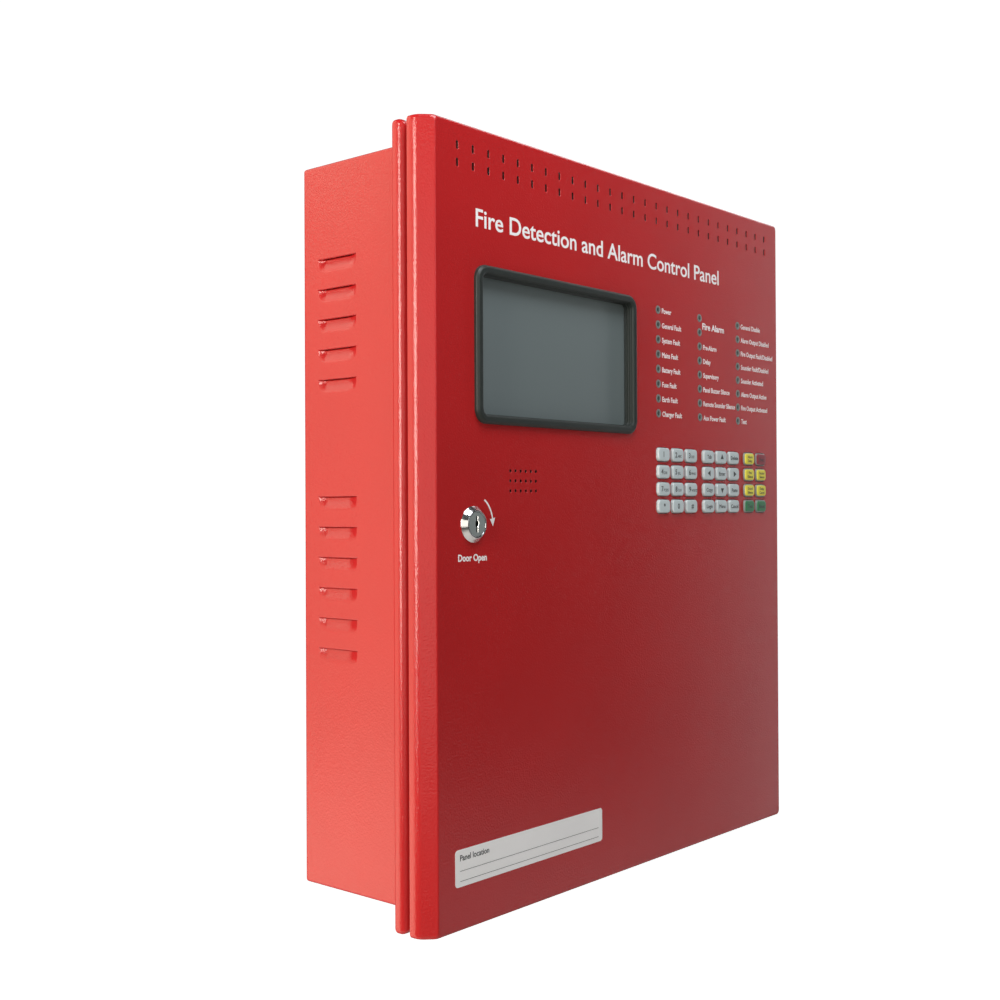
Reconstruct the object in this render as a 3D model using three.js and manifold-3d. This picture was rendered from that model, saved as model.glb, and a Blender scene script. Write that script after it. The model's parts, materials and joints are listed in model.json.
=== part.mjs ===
// Wall-mounted fire alarm control panel: a folded sheet-steel cabinet with a hinged door that carries
// a screen, indicators, keys, a sounder and a cam lock, over a chassis with boards and batteries.
// Millimetres, +Z up. The wall is the plane y = 0, the door faces -Y, and the origin is the centre
// of the cabinet's back. The fronts of things on the door stand at y below -DEPTH.
import * as THREE from "three";
import { mergeVertices } from "three/addons/utils/BufferGeometryUtils.js";
import Module from "manifold-3d";

// Cabinet
const WIDTH = 420;
const HEIGHT = 480;
const DEPTH = 120; // wall to the door's front face
const SHEET = 1.5; // folded steel
const GAP = 0.3; // clearance between neighbouring solids
const DOOR_DEPTH = 14.6; // front face to the rear edge of the door's flanges
const DOOR_BEVEL = 9; // 45 degree bevel along the left and right edges
const DOOR_ROUND = 2.5; // bend radius along the top and bottom edges
const SHADOW_GAP = 3.4; // between the door's flange and the frame
const FRAME_DEPTH = 9.4;
const FRAME_ROUND = 4;
const FRAME_FACE = 24; // width of the frame's front face, behind the door
const BODY_STEP = 11.5; // the box stands in from the frame by this much, all round

// Planes across the depth
const DOOR_FRONT = -DEPTH;
const DOOR_INSIDE = DOOR_FRONT + SHEET;
const DOOR_BACK = DOOR_FRONT + DOOR_DEPTH;
const FRAME_FRONT = DOOR_BACK + SHADOW_GAP;
const FRAME_BACK = FRAME_FRONT + FRAME_DEPTH;
const BOX_FRONT = FRAME_BACK + GAP;
const BOARD_FRONT = -111.8; // control board behind the door
const BOARD_BACK = -110.2;
const PLATE_FRONT = -13; // chassis plate
const PLATE_BACK = PLATE_FRONT + SHEET;
const FIXED_BACK = PLATE_FRONT - GAP; // what is screwed to the chassis plate starts here
const CIRCUIT_BACK = -19.3; // main board, on its standoffs
const CIRCUIT_FRONT = -20.9;

// Box
const BOX_X = WIDTH / 2 - BODY_STEP;
const BOX_Z = HEIGHT / 2 - BODY_STEP;
const LOUVRE_LENGTH = 35;
const LOUVRE_HEIGHT = 6.5;
const LOUVRE_DEEP = 3;
const LOUVRE_BACK = -14.5;
const LOUVRE_PITCH = 19.15;
const LOUVRE_ROWS = [
  { top: 168.3, count: 5 },
  { top: 17.75, count: 6 },
];
const ENTRY_X = 60; // cable entries in the top, left and right of the middle
const ENTRY_Y = -45;
const ENTRY_RADIUS = 11;
const KEYHOLE_X = 178; // keyhole slots in the back, for the wall screws
const KEYHOLE_Z = 209;

// Hinges, at the right: upper and lower, each with a leaf on the frame and a leaf on the door
const HINGE_X = WIDTH / 2 + 2.6;
const HINGE_Y = -102.8;
const HINGE_RADIUS = 2.3;
const HINGE_PIN = 1.2;
const HINGE_BORE = 1.5;
const HINGE_HALF = 20; // half the hinge's height
const HINGE_Z = 170; // middle of the upper hinge; the lower one is its mirror

// Vent slots along the top of the door
const VENT = { columns: 27, rows: 2, pitch: 14, rowPitch: 10.4, z: 225.7, width: 1.9, height: 5 };

// Screen in its rubber surround
const SCREEN = { x0: -161.5, x1: -7, z0: 67.5, z1: 151 };
const SURROUND_LIP = 6.3; // width of the lip in front of the door
const SURROUND_NECK = 2.2; // wall of the neck through the door
const SURROUND_PROUD = 3.5;
const SCREEN_FRONT = DOOR_FRONT + 4.5;

// Indicators: three columns of eight light pipes
const LAMP = { columns: 3, rows: 8, x: 29.3, z: 151.8, pitch: 55.2, rowPitch: 10.6, radius: 2.9 };

// Keys: columns in groups of three, three and two, in four rows
const KEY = { x: 33.6, z: 48.2, pitch: 18.2, rowPitch: 12.4, width: 15.2, height: 10, proud: 2.1 };
const KEY_GROUP_STEP = 5.8;
const KEY_CORNER = 2.8;
const KEY_TRAVEL = 1.2;
const KEY_FLANGE_BACK = DOOR_INSIDE + GAP + 1.2;
const KEY_NAMES = [
  ["1", "2", "3", "tab", "up", "delete", "yellow_1", "red"],
  ["4", "5", "6", "left", "enter", "right", "yellow_2", "yellow_3"],
  ["7", "8", "9", "copy", "down", "paste", "yellow_4", "yellow_5"],
  ["star", "0", "hash", "login", "menu", "cancel", "green_1", "green_2"],
];

// Sounder and lock
const SOUNDER = { x: -122.2, z: 27, columns: 6, rows: 3, pitch: 5, rowPitch: 6.2, hole: 1 };
const LOCK = { x: -169.5, z: 0.5, barrel: 9, bezel: 11, face: 8.3, proud: 3.5, plug: 5.9 };
const PLUG_HEAD = { radius: 7.3, depth: 1.6, sunk: 0.2 };
const CAM_LENGTH = 26;
const CAM_BACK = -96.7;

// Batteries, 12 V 7 Ah, standing on the bottom of the box
const BATTERY = { x: 79.5, width: 151, depth: 65, height: 94, back: -8 };
const FLOOR = -BOX_Z + SHEET + GAP;

const wasm = await Module();
wasm.setup();

// ---- solids ------------------------------------------------------------------------------------

// A closed three.js geometry as a solid that can be joined and cut.
function solidOf(geometry) {
  const plain = geometry.clone();
  plain.deleteAttribute("normal");
  plain.deleteAttribute("uv");
  const merged = mergeVertices(plain, 1e-4);
  const triVerts = new Uint32Array(merged.index.array);
  const vertProperties = new Float32Array(merged.attributes.position.array);
  return new wasm.Manifold(new wasm.Mesh({ numProp: 3, vertProperties, triVerts }));
}

// A solid as a three.js geometry.
function geometryOf(made) {
  const mesh = made.getMesh();
  return new THREE.BufferGeometry()
    .setAttribute("position", new THREE.BufferAttribute(mesh.vertProperties, 3))
    .setIndex(new THREE.BufferAttribute(mesh.triVerts, 1));
}

function join(solids) {
  return wasm.Manifold.union(solids);
}

// A box between two values of x, of y and of z.
function box(x0, x1, y0, y1, z0, z1) {
  const made = new THREE.BoxGeometry(x1 - x0, y1 - y0, z1 - z0);
  return solidOf(made.translate((x0 + x1) / 2, (y0 + y1) / 2, (z0 + z1) / 2));
}

// A round bar along Y.
function barY(radius, y0, y1, x, z, sides = 16) {
  const made = new THREE.CylinderGeometry(radius, radius, y1 - y0, sides);
  return solidOf(made.translate(x, (y0 + y1) / 2, z));
}

// A round bar along Z.
function barZ(radius, z0, z1, x, y, sides = 16) {
  const made = new THREE.CylinderGeometry(radius, radius, z1 - z0, sides).rotateX(Math.PI / 2);
  return solidOf(made.translate(x, y, (z0 + z1) / 2));
}

// An outline of [x, z] points, thickened from y0 to y1.
function plate(points, y0, y1) {
  const shape = new THREE.Shape(points.map(([x, z]) => new THREE.Vector2(x, z)));
  const made = new THREE.ExtrudeGeometry(shape, { depth: y1 - y0, bevelEnabled: false });
  return solidOf(made.rotateX(Math.PI / 2).translate(0, y1, 0));
}

// An outline of [x, y] points, drawn out from z0 to z1.
function columnZ(points, z0, z1) {
  const shape = new THREE.Shape(points.map(([x, y]) => new THREE.Vector2(x, y)));
  const made = new THREE.ExtrudeGeometry(shape, { depth: z1 - z0, bevelEnabled: false });
  return solidOf(made.translate(0, 0, z0));
}

// An outline of [y, z] points, drawn out from x0 to x1.
function beamX(points, x0, x1) {
  const shape = new THREE.Shape(points.map(([y, z]) => new THREE.Vector2(y, z)));
  const made = new THREE.ExtrudeGeometry(shape, { depth: x1 - x0, bevelEnabled: false });
  const turn = new THREE.Matrix4().makeBasis(
    new THREE.Vector3(0, 1, 0),
    new THREE.Vector3(0, 0, 1),
    new THREE.Vector3(1, 0, 0),
  );
  return solidOf(made.applyMatrix4(turn).translate(x0, 0, 0));
}

// A turned piece about a line along Y: its profile is [radius, y] points, from front to back.
function turned(profile, x, z, sides = 24) {
  const points = profile.map(([radius, y]) => new THREE.Vector2(radius, y));
  return solidOf(new THREE.LatheGeometry(points, sides).translate(x, 0, z));
}

// A rectangle with rounded corners, as [x, z] points.
function roundedRectangle(x0, x1, z0, z1, radius, steps = 2) {
  const corners = [
    [x1 - radius, z1 - radius, 0],
    [x0 + radius, z1 - radius, 1],
    [x0 + radius, z0 + radius, 2],
    [x1 - radius, z0 + radius, 3],
  ];
  return corners.flatMap(([x, z, quarter]) =>
    Array.from({ length: steps + 1 }, (_, i) => {
      const angle = ((quarter + i / steps) * Math.PI) / 2;
      return [x + radius * Math.cos(angle), z + radius * Math.sin(angle)];
    }),
  );
}

// The section of a folded pan that faces -Y: [across, y] points, its two front corners rounded.
// With one step the rounding is a flat 45 degree bevel.
function panProfile(half, front, back, radius, steps) {
  const left = Array.from({ length: steps + 1 }, (_, i) => {
    const angle = ((i / steps) * Math.PI) / 2;
    const across = -half + radius * (1 - Math.cos(angle));
    return [across, front + radius * (1 - Math.sin(angle))];
  });
  const right = left.map(([across, y]) => [-across, y]).reverse();
  return [[-half, back], ...left, ...right, [half, back]];
}

// ---- scene graph -------------------------------------------------------------------------------

function finish(color, roughness, metalness = 0) {
  return new THREE.MeshStandardMaterial({ color, roughness, metalness });
}

const RED_PAINT = finish(0xd8443c, 0.45);
const ZINC = finish(0xb9bcbe, 0.4, 0.9);
const CHROME = finish(0xd8dadd, 0.15, 1);
const BLACK_RUBBER = finish(0x2d3432, 0.7);
const SCREEN_GLASS = finish(0x6f7a7c, 0.25);
const GREY_KEY = finish(0xc8d0d4, 0.5);
const YELLOW_KEY = finish(0xebe150, 0.5);
const RED_KEY = finish(0x96323c, 0.5);
const GREEN_KEY = finish(0x3c825a, 0.5);
const LAMP_GREY = finish(0x9aa09c, 0.4);
const GREEN_BOARD = finish(0x1f5a35, 0.6);
const GREEN_TERMINAL = finish(0x2f8f4f, 0.5);
const BLACK_PLASTIC = finish(0x222426, 0.5);
const GREY_RIBBON = finish(0xa8a8a4, 0.6);

const panel = new THREE.Group();

function addMesh(name, geometry, material, x = 0, y = 0, z = 0, group = panel) {
  const mesh = new THREE.Mesh(geometry, material);
  mesh.name = name;
  mesh.position.set(x, y, z);
  group.add(mesh);
}

// ---- cabinet -----------------------------------------------------------------------------------

// A pressed louvre on the left wall, its slit at the height top: what it adds and what it cuts.
function louvre(top) {
  const outside = -BOX_X;
  const bulge = [
    [outside + 0.5, top - LOUVRE_HEIGHT - SHEET],
    [outside + SHEET, top - LOUVRE_HEIGHT - SHEET],
    [outside + LOUVRE_DEEP + SHEET, top - SHEET],
    [outside + LOUVRE_DEEP + SHEET, top],
    [outside + 0.5, top],
  ];
  const hollow = [
    [outside - 1, top - LOUVRE_HEIGHT],
    [outside, top - LOUVRE_HEIGHT],
    [outside + LOUVRE_DEEP, top - SHEET],
    [outside + LOUVRE_DEEP, top + 0.02],
    [outside - 1, top + 0.02],
  ];
  const front = LOUVRE_BACK - LOUVRE_LENGTH;
  return {
    adds: plate(bulge, front - SHEET, LOUVRE_BACK + SHEET),
    cuts: plate(hollow, front, LOUVRE_BACK),
  };
}

// A keyhole slot through the box's back: the screw's head goes in low and the shank slides up.
function keyhole(x, z) {
  const head = barY(4.5, -SHEET - 1, 1, x, z, 12);
  const slot = box(x - 2.3, x + 2.3, -SHEET - 1, 1, z, z + 9);
  return head.add(slot);
}

// The box: a tray with its back on the wall, louvres in both sides, keyholes in the back and two
// entries in the top.
function buildBackBox() {
  const outer = box(-BOX_X, BOX_X, BOX_FRONT, 0, -BOX_Z, BOX_Z);
  const inX = BOX_X - SHEET;
  const inZ = BOX_Z - SHEET;
  const inner = box(-inX, inX, BOX_FRONT - 1, -SHEET, -inZ, inZ);
  const tops = LOUVRE_ROWS.flatMap(({ top, count }) =>
    Array.from({ length: count }, (_, i) => top - i * LOUVRE_PITCH),
  );
  const left = tops.map(louvre);
  const adds = left.map(({ adds: made }) => made);
  const cuts = left.map(({ cuts: made }) => made);
  const mirror = (made) => made.mirror([1, 0, 0]);
  const entries = [-ENTRY_X, ENTRY_X].map((x) => barZ(ENTRY_RADIUS, inZ - 1, BOX_Z + 1, x, ENTRY_Y));
  const keyholes = [-KEYHOLE_X, KEYHOLE_X].flatMap((x) =>
    [-KEYHOLE_Z, KEYHOLE_Z].map((z) => keyhole(x, z)),
  );
  const shell = outer.subtract(inner).add(join([...adds, ...adds.map(mirror)]));
  const made = shell.subtract(join([...cuts, ...cuts.map(mirror), ...entries, ...keyholes]));
  addMesh("back_box", geometryOf(made), RED_PAINT);
}

// The frame: a channel folded round the box's mouth, with the face that the door closes on.
function buildFrontFrame() {
  const x = WIDTH / 2;
  const z = HEIGHT / 2;
  const outer = columnZ(panProfile(x, FRAME_FRONT, FRAME_BACK, FRAME_ROUND, 3), -z, z).intersect(
    beamX(
      panProfile(z, FRAME_FRONT, FRAME_BACK, FRAME_ROUND, 3).map(([across, y]) => [y, across]),
      -x,
      x,
    ),
  );
  const channel = box(
    -x + SHEET,
    x - SHEET,
    FRAME_FRONT + SHEET,
    FRAME_BACK - SHEET,
    -z + SHEET,
    z - SHEET,
  );
  const mouth = box(-x + FRAME_FACE, x - FRAME_FACE, -DEPTH, 0, -z + FRAME_FACE, z - FRAME_FACE);
  const inX = BOX_X - SHEET;
  const inZ = BOX_Z - SHEET;
  const rear = box(-inX, inX, FRAME_BACK - SHEET - 1, 0, -inZ, inZ);
  const made = outer.subtract(channel).subtract(mouth).subtract(rear);
  addMesh("front_frame", geometryOf(made), RED_PAINT);
}

// Rubber grommets in the two cable entries, each closed by a thin web.
function buildCableGrommets() {
  const profile = [
    [0, -0.6],
    [ENTRY_RADIUS - 1.8, -0.6],
    [ENTRY_RADIUS - 1.8, -3],
    [ENTRY_RADIUS + 2.5, -2.6],
    [ENTRY_RADIUS + 2.5, -GAP],
    [ENTRY_RADIUS - GAP, -GAP],
    [ENTRY_RADIUS - GAP, SHEET + GAP],
    [ENTRY_RADIUS + 2, SHEET + GAP],
    [ENTRY_RADIUS + 1, SHEET + 2.4],
    [ENTRY_RADIUS - 1.8, SHEET + 2.4],
    [ENTRY_RADIUS - 1.8, 0.6],
    [0, 0.6],
  ];
  const geometry = geometryOf(turned(profile, 0, 0, 12).rotate([-90, 0, 0]));
  [-1, 1].forEach((side) =>
    addMesh(
      side < 0 ? "cable_grommet_left" : "cable_grommet_right",
      geometry,
      BLACK_RUBBER,
      side * ENTRY_X,
      ENTRY_Y,
      BOX_Z,
    ),
  );
}

// ---- inside the box ----------------------------------------------------------------------------

function buildChassisPlate() {
  const x = 180;
  const foot = -SHEET - GAP;
  const outline = [
    [-x, PLATE_FRONT],
    [x, PLATE_FRONT],
    [x, foot],
    [x - SHEET, foot],
    [x - SHEET, PLATE_BACK],
    [-x + SHEET, PLATE_BACK],
    [-x + SHEET, foot],
    [-x, foot],
  ];
  addMesh("chassis_plate", geometryOf(columnZ(outline, -115, 200)), ZINC);
}

// The main board on its standoffs, with relays, capacitors, heat sink, processor and connectors.
function buildMainBoard() {
  const on = CIRCUIT_FRONT + 0.2; // components sink this much into the board
  const standoffs = [-52, 58, 168].flatMap((x) =>
    [-96, 28, 152].map((z) => barY(3, CIRCUIT_BACK - 0.2, FIXED_BACK, x, z, 6)),
  );
  const relays = Array.from({ length: 6 }, (_, i) => {
    const x = -44 + 24 * i;
    return box(x, x + 15, CIRCUIT_FRONT - 16, on, 104, 124);
  });
  const capacitors = [-42, -24, -6].map((x) => barY(6, CIRCUIT_FRONT - 20, on, x, -62, 12));
  const fins = Array.from({ length: 6 }, (_, i) => {
    const x = 112 + 9 * i;
    return box(x, x + 2, CIRCUIT_FRONT - 24, CIRCUIT_FRONT - 3, -88, -48);
  });
  const sink = box(108, 163, CIRCUIT_FRONT - 4, on, -88, -48);
  const processor = box(46, 74, CIRCUIT_FRONT - 1.6, on, 34, 62);
  const memory = box(92, 104, CIRCUIT_FRONT - 1.4, on, 36, 58);
  const header = box(140, 149, CIRCUIT_FRONT - 9, on, 28, 74);
  const plugs = Array.from({ length: 5 }, (_, i) => {
    const x = -30 + 20 * i;
    return box(x, x + 14, CIRCUIT_FRONT - 12, on, -102, -92);
  });
  const board = box(-60, 176, CIRCUIT_FRONT, CIRCUIT_BACK, -104, 160);
  const parts = [...standoffs, ...relays, ...capacitors, ...fins, ...plugs];
  const made = join([board, sink, processor, memory, header, ...parts]);
  addMesh("main_board", geometryOf(made), GREEN_BOARD);
}

// Screw terminals for the field wiring, along the top edge of the main board.
function buildTerminalStrip() {
  const back = CIRCUIT_FRONT - GAP;
  const section = [
    [back, 138],
    [back, 154],
    [back - 10, 154],
    [back - 16, 150],
    [back - 16, 142],
    [back - 10, 138],
  ];
  addMesh("terminal_strip", geometryOf(beamX(section, -46, 162)), GREEN_TERMINAL);
}

function buildPowerSupply() {
  const cage = box(-172, -76, -52, FIXED_BACK, -12, 140);
  const shelf = box(-172, -76, -18, FIXED_BACK, 139, 158);
  const terminals = box(-166, -82, -31, -17, 141, 154);
  addMesh("power_supply", geometryOf(join([cage, shelf, terminals])), ZINC);
}

// Mains terminal block with its fuse holder.
function buildMainsTerminalBlock() {
  const base = box(-168, -84, -20, FIXED_BACK, 168, 197);
  const poles = [-164, -150, -136].map((x) => box(x, x + 12, -36, -19.5, 171, 193));
  const fuse = barZ(6, 171, 193, -104, -25, 12);
  addMesh("mains_terminal_block", geometryOf(join([base, ...poles, fuse])), BLACK_PLASTIC);
}

function buildBatteries() {
  const { width, depth, height } = BATTERY;
  const body = box(-width / 2, width / 2, -depth, 0, 0, height - 8);
  const lid = box(-width / 2 + 1, width / 2 - 1, -depth + 1, -1, height - 9, height);
  const tabs = [-1, 1].map((side) => {
    const x = side * (width / 2 - 12);
    return box(x - 3, x + 3, -depth + 8, -depth + 9, height - 1, height + 6);
  });
  const geometry = geometryOf(join([body, lid, ...tabs]));
  addMesh("battery_left", geometry, BLACK_PLASTIC, -BATTERY.x, BATTERY.back, FLOOR);
  addMesh("battery_right", geometry, BLACK_PLASTIC, BATTERY.x, BATTERY.back, FLOOR);
}

// The strap that holds the batteries against the back.
function buildBatteryBracket() {
  const x = 163;
  const foot = -SHEET - GAP;
  const front = BATTERY.back - BATTERY.depth - GAP;
  const outline = [
    [-x, front - SHEET],
    [x, front - SHEET],
    [x, foot],
    [x - SHEET, foot],
    [x - SHEET, front],
    [-x + SHEET, front],
    [-x + SHEET, foot],
    [-x, foot],
  ];
  addMesh("battery_bracket", geometryOf(columnZ(outline, -192, -172)), ZINC);
}

// The ribbon cable from the control board on the door to the main board, in a slack curve beside
// the hinges.
function buildRibbonCable() {
  const middle = new THREE.CatmullRomCurve3([
    new THREE.Vector3(144.5, CIRCUIT_FRONT - 9 - GAP, 0),
    new THREE.Vector3(147, -44, 0),
    new THREE.Vector3(172, -52, 0),
    new THREE.Vector3(181, -74, 0),
    new THREE.Vector3(179, -94, 0),
    new THREE.Vector3(176, -104, 0),
  ]);
  const steps = 20;
  const half = 0.45;
  const sides = [-half, half].map((offset) =>
    Array.from({ length: steps + 1 }, (_, i) => {
      const at = middle.getPoint(i / steps);
      const along = middle.getTangent(i / steps);
      return [at.x - offset * along.y, at.y + offset * along.x];
    }),
  );
  const made = columnZ([...sides[0], ...sides[1].reverse()], 32, 70);
  addMesh("door_ribbon_cable", geometryOf(made), GREY_RIBBON);
}

// ---- hinges ------------------------------------------------------------------------------------

// One leaf with its knuckle, about the height 0. The frame's leaf is the lower half and carries
// the pin, the door's leaf is the upper half and drops over the pin.
function hingeLeaf(onDoor) {
  const z0 = onDoor ? 0.2 : -HINGE_HALF;
  const z1 = onDoor ? HINGE_HALF : -0.2;
  const edge = onDoor ? DOOR_FRONT + DOOR_BEVEL + 0.6 : FRAME_BACK + 0.4;
  const inner = WIDTH / 2 + GAP;
  const leaf = box(inner, inner + SHEET, Math.min(edge, HINGE_Y), Math.max(edge, HINGE_Y), z0, z1);
  const knuckle = barZ(HINGE_RADIUS, z0, z1, HINGE_X, HINGE_Y, 12);
  const made = leaf.add(knuckle);
  return onDoor
    ? made.subtract(barZ(HINGE_BORE, z0 - 1, z1 - 3, HINGE_X, HINGE_Y, 12))
    : made.add(barZ(HINGE_PIN, z1 - 1, HINGE_HALF - 4, HINGE_X, HINGE_Y, 12));
}

function buildHinges(door) {
  const frameLeaf = geometryOf(hingeLeaf(false));
  const doorLeaf = geometryOf(hingeLeaf(true));
  [
    ["upper", HINGE_Z],
    ["lower", -HINGE_Z],
  ].forEach(([place, z]) => {
    addMesh("hinge_frame_leaf_" + place, frameLeaf, ZINC, 0, 0, z);
    addMesh("hinge_door_leaf_" + place, doorLeaf, ZINC, 0, 0, z, door);
  });
}

// ---- door --------------------------------------------------------------------------------------

function keyPlaces() {
  return KEY_NAMES.flatMap((row, r) =>
    row.map((name, c) => ({
      name,
      x: KEY.x + c * KEY.pitch + Math.floor(c / 3) * KEY_GROUP_STEP,
      z: KEY.z - r * KEY.rowPitch,
    })),
  );
}

function lampPlaces() {
  return Array.from({ length: LAMP.columns * LAMP.rows }, (_, i) => ({
    x: LAMP.x + Math.floor(i / LAMP.rows) * LAMP.pitch,
    z: LAMP.z - (i % LAMP.rows) * LAMP.rowPitch,
  }));
}

// Everything that is punched through the door, as one solid to cut away.
function doorPunches() {
  const y0 = DOOR_FRONT - 1;
  const y1 = DOOR_INSIDE + 1;
  const grid = (columns, rows, make) =>
    Array.from({ length: columns * rows }, (_, i) => make(i % columns, Math.floor(i / columns)));
  const vents = grid(VENT.columns, VENT.rows, (column, row) => {
    const x = (column - (VENT.columns - 1) / 2) * VENT.pitch;
    const z = VENT.z - row * VENT.rowPitch;
    const half = VENT.width / 2;
    const end = VENT.height / 2;
    const slot = [
      [x + half, z + end - half],
      [x, z + end],
      [x - half, z + end - half],
      [x - half, z - end + half],
      [x, z - end],
      [x + half, z - end + half],
    ];
    return plate(slot, y0, y1);
  });
  const grille = grid(SOUNDER.columns, SOUNDER.rows, (column, row) =>
    barY(
      SOUNDER.hole,
      y0,
      y1,
      SOUNDER.x + (column - (SOUNDER.columns - 1) / 2) * SOUNDER.pitch,
      SOUNDER.z + (row - (SOUNDER.rows - 1) / 2) * SOUNDER.rowPitch,
      6,
    ),
  );
  const keys = keyPlaces().map(({ x, z }) => {
    const half = KEY.width / 2 + GAP;
    const tall = KEY.height / 2 + GAP;
    return box(x - half, x + half, y0, y1, z - tall, z + tall);
  });
  const lamps = lampPlaces().map(({ x, z }) => barY(LAMP.radius + GAP, y0, y1, x, z, 8));
  const neck = SURROUND_NECK + GAP;
  const { x0, x1, z0, z1 } = SCREEN;
  const edge = roundedRectangle(x0 - neck, x1 + neck, z0 - neck, z1 + neck, 5, 3);
  const window = plate(edge, y0, y1);
  const lock = barY(LOCK.barrel + GAP, y0, y1, LOCK.x, LOCK.z, 24);
  return join([...vents, ...grille, ...keys, ...lamps, window, lock]);
}

// The door: a folded pan, bevelled at the left and right, rounded at the top and bottom.
function buildDoor(door) {
  const pan = (inset, back) => {
    const x = WIDTH / 2 - inset;
    const z = HEIGHT / 2 - inset;
    const front = DOOR_FRONT + inset;
    const bevel = DOOR_BEVEL - inset * (2 - Math.SQRT2);
    const round = DOOR_ROUND - inset;
    const across = columnZ(panProfile(x, front, back, bevel, 1), -z, z);
    const upright = panProfile(z, front, back, round, 3).map(([along, y]) => [y, along]);
    return across.intersect(beamX(upright, -x, x));
  };
  const shell = pan(0, DOOR_BACK).subtract(pan(SHEET, DOOR_BACK + 1));
  addMesh("door", geometryOf(shell.subtract(doorPunches())), RED_PAINT, 0, 0, 0, door);
}

// The rubber surround: a lip in front of the door, a neck through it and a flange behind it.
function buildDisplayGasket(door) {
  const { x0, x1, z0, z1 } = SCREEN;
  const ring = (width, radius, y0, y1) =>
    plate(roundedRectangle(x0 - width, x1 + width, z0 - width, z1 + width, radius, 3), y0, y1);
  const lipBack = DOOR_FRONT - GAP;
  const lipMiddle = DOOR_FRONT - SURROUND_PROUD / 2;
  const flangeFront = DOOR_INSIDE + GAP;
  const made = join([
    ring(SURROUND_LIP - 1.4, 7, DOOR_FRONT - SURROUND_PROUD, lipMiddle),
    ring(SURROUND_LIP, 8.5, lipMiddle - 0.4, lipBack),
    ring(SURROUND_NECK, 4.7, lipBack - 0.4, flangeFront + 0.4),
    ring(SURROUND_LIP - 1, 7.5, flangeFront, SCREEN_FRONT - GAP),
  ]).subtract(ring(0, 4, DOOR_FRONT - SURROUND_PROUD - 1, SCREEN_FRONT));
  addMesh("display_gasket", geometryOf(made), BLACK_RUBBER, 0, 0, 0, door);
}

function buildDisplayModule(door) {
  const { x0, x1, z0, z1 } = SCREEN;
  const glass = box(x0 - 5, x1 + 5, SCREEN_FRONT, SCREEN_FRONT + 1.4, z0 - 5, z1 + 5);
  const frame = box(x0 - 3, x1 + 3, SCREEN_FRONT + 1, SCREEN_FRONT + 7, z0 - 3, z1 + 3);
  const board = box(x0 + 20, x1 - 20, SCREEN_FRONT + 6.5, SCREEN_FRONT + 9.5, z0 + 12, z1 - 12);
  addMesh("display_module", geometryOf(join([glass, frame, board])), SCREEN_GLASS, 0, 0, 0, door);
}

// The control board behind the door, on posts, with its connector and chips at the back.
function buildControlBoard(door) {
  const board = box(8, 190, BOARD_FRONT, BOARD_BACK, -10, 168);
  const posts = [12, 186].flatMap((x) =>
    [-6, 64, 164].map((z) => barY(2.5, DOOR_INSIDE + GAP, BOARD_FRONT + 0.2, x, z, 6)),
  );
  const header = box(172, 180, BOARD_BACK - 0.2, -104.6, 30, 72);
  const chips = [
    box(60, 80, BOARD_BACK - 0.2, -108.4, 84, 104),
    box(100, 112, BOARD_BACK - 0.2, -108.8, 88, 100),
    box(60, 72, BOARD_BACK - 0.2, -108.8, 20, 36),
  ];
  const made = join([board, ...posts, header, ...chips]);
  addMesh("control_board", geometryOf(made), GREEN_BOARD, 0, 0, 0, door);
}

// The mat behind the keys, with a hole for each key's plunger. The keys' flanges travel up to it.
function buildKeypadMat(door) {
  const front = KEY_FLANGE_BACK + KEY_TRAVEL + GAP;
  const back = front + 1;
  const sheet = box(21, 185, front, back, 3, 56);
  const holes = keyPlaces().map(({ x, z }) =>
    box(x - 3.5, x + 3.5, front - 1, back + 1, z - 2.5, z + 2.5),
  );
  addMesh("keypad_mat", geometryOf(sheet.subtract(join(holes))), BLACK_RUBBER, 0, 0, 0, door);
}

// The light pipes of all the indicators, moulded as one piece on a thin backing.
function buildIndicatorLensBar(door) {
  const places = lampPlaces();
  const last = places[places.length - 1];
  const front = DOOR_INSIDE + 2;
  const backing = box(LAMP.x - 5, last.x + 5, front, front + 1.2, last.z - 5, LAMP.z + 5);
  const pipes = places.map(({ x, z }) =>
    barY(LAMP.radius, DOOR_FRONT - 0.2, front + 0.4, x, z, 8),
  );
  addMesh("indicator_lens_bar", geometryOf(join([backing, ...pipes])), LAMP_GREY, 0, 0, 0, door);
}

function buildSounder(door) {
  const front = DOOR_INSIDE + GAP;
  const can = barY(17, front, -107, SOUNDER.x, SOUNDER.z, 24);
  const lugs = box(SOUNDER.x - 25, SOUNDER.x + 25, front, front + 2, SOUNDER.z - 4, SOUNDER.z + 4);
  addMesh("sounder", geometryOf(can.add(lugs)), BLACK_PLASTIC, 0, 0, 0, door);
}

// The keys: a cap through the door, a flange behind the door and a plunger through the mat.
function buildKeys(door) {
  const cap = (inset, y0, y1) => {
    const half = KEY.width / 2 - inset;
    const tall = KEY.height / 2 - inset;
    return plate(roundedRectangle(-half, half, -tall, tall, KEY_CORNER - inset, 1), y0, y1);
  };
  const behind = DOOR_INSIDE + GAP;
  const flange = box(-8.8, 8.8, behind, KEY_FLANGE_BACK, -5.9, 5.9);
  const plungerBack = BOARD_FRONT - KEY_TRAVEL - GAP;
  const plunger = box(-3, 3, KEY_FLANGE_BACK - 0.2, plungerBack, -2, 2);
  const top = DOOR_FRONT - KEY.proud;
  const made = join([cap(0.5, top, top + 1), cap(0, top + 0.8, behind + 0.2), flange, plunger]);
  const geometry = geometryOf(made);
  keyPlaces().forEach(({ name, x, z }) => {
    const colour = name.split("_")[0];
    const material = { yellow: YELLOW_KEY, red: RED_KEY, green: GREEN_KEY }[colour] ?? GREY_KEY;
    addMesh("key_" + name, geometry, material, x, 0, z, door);
  });
}

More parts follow.
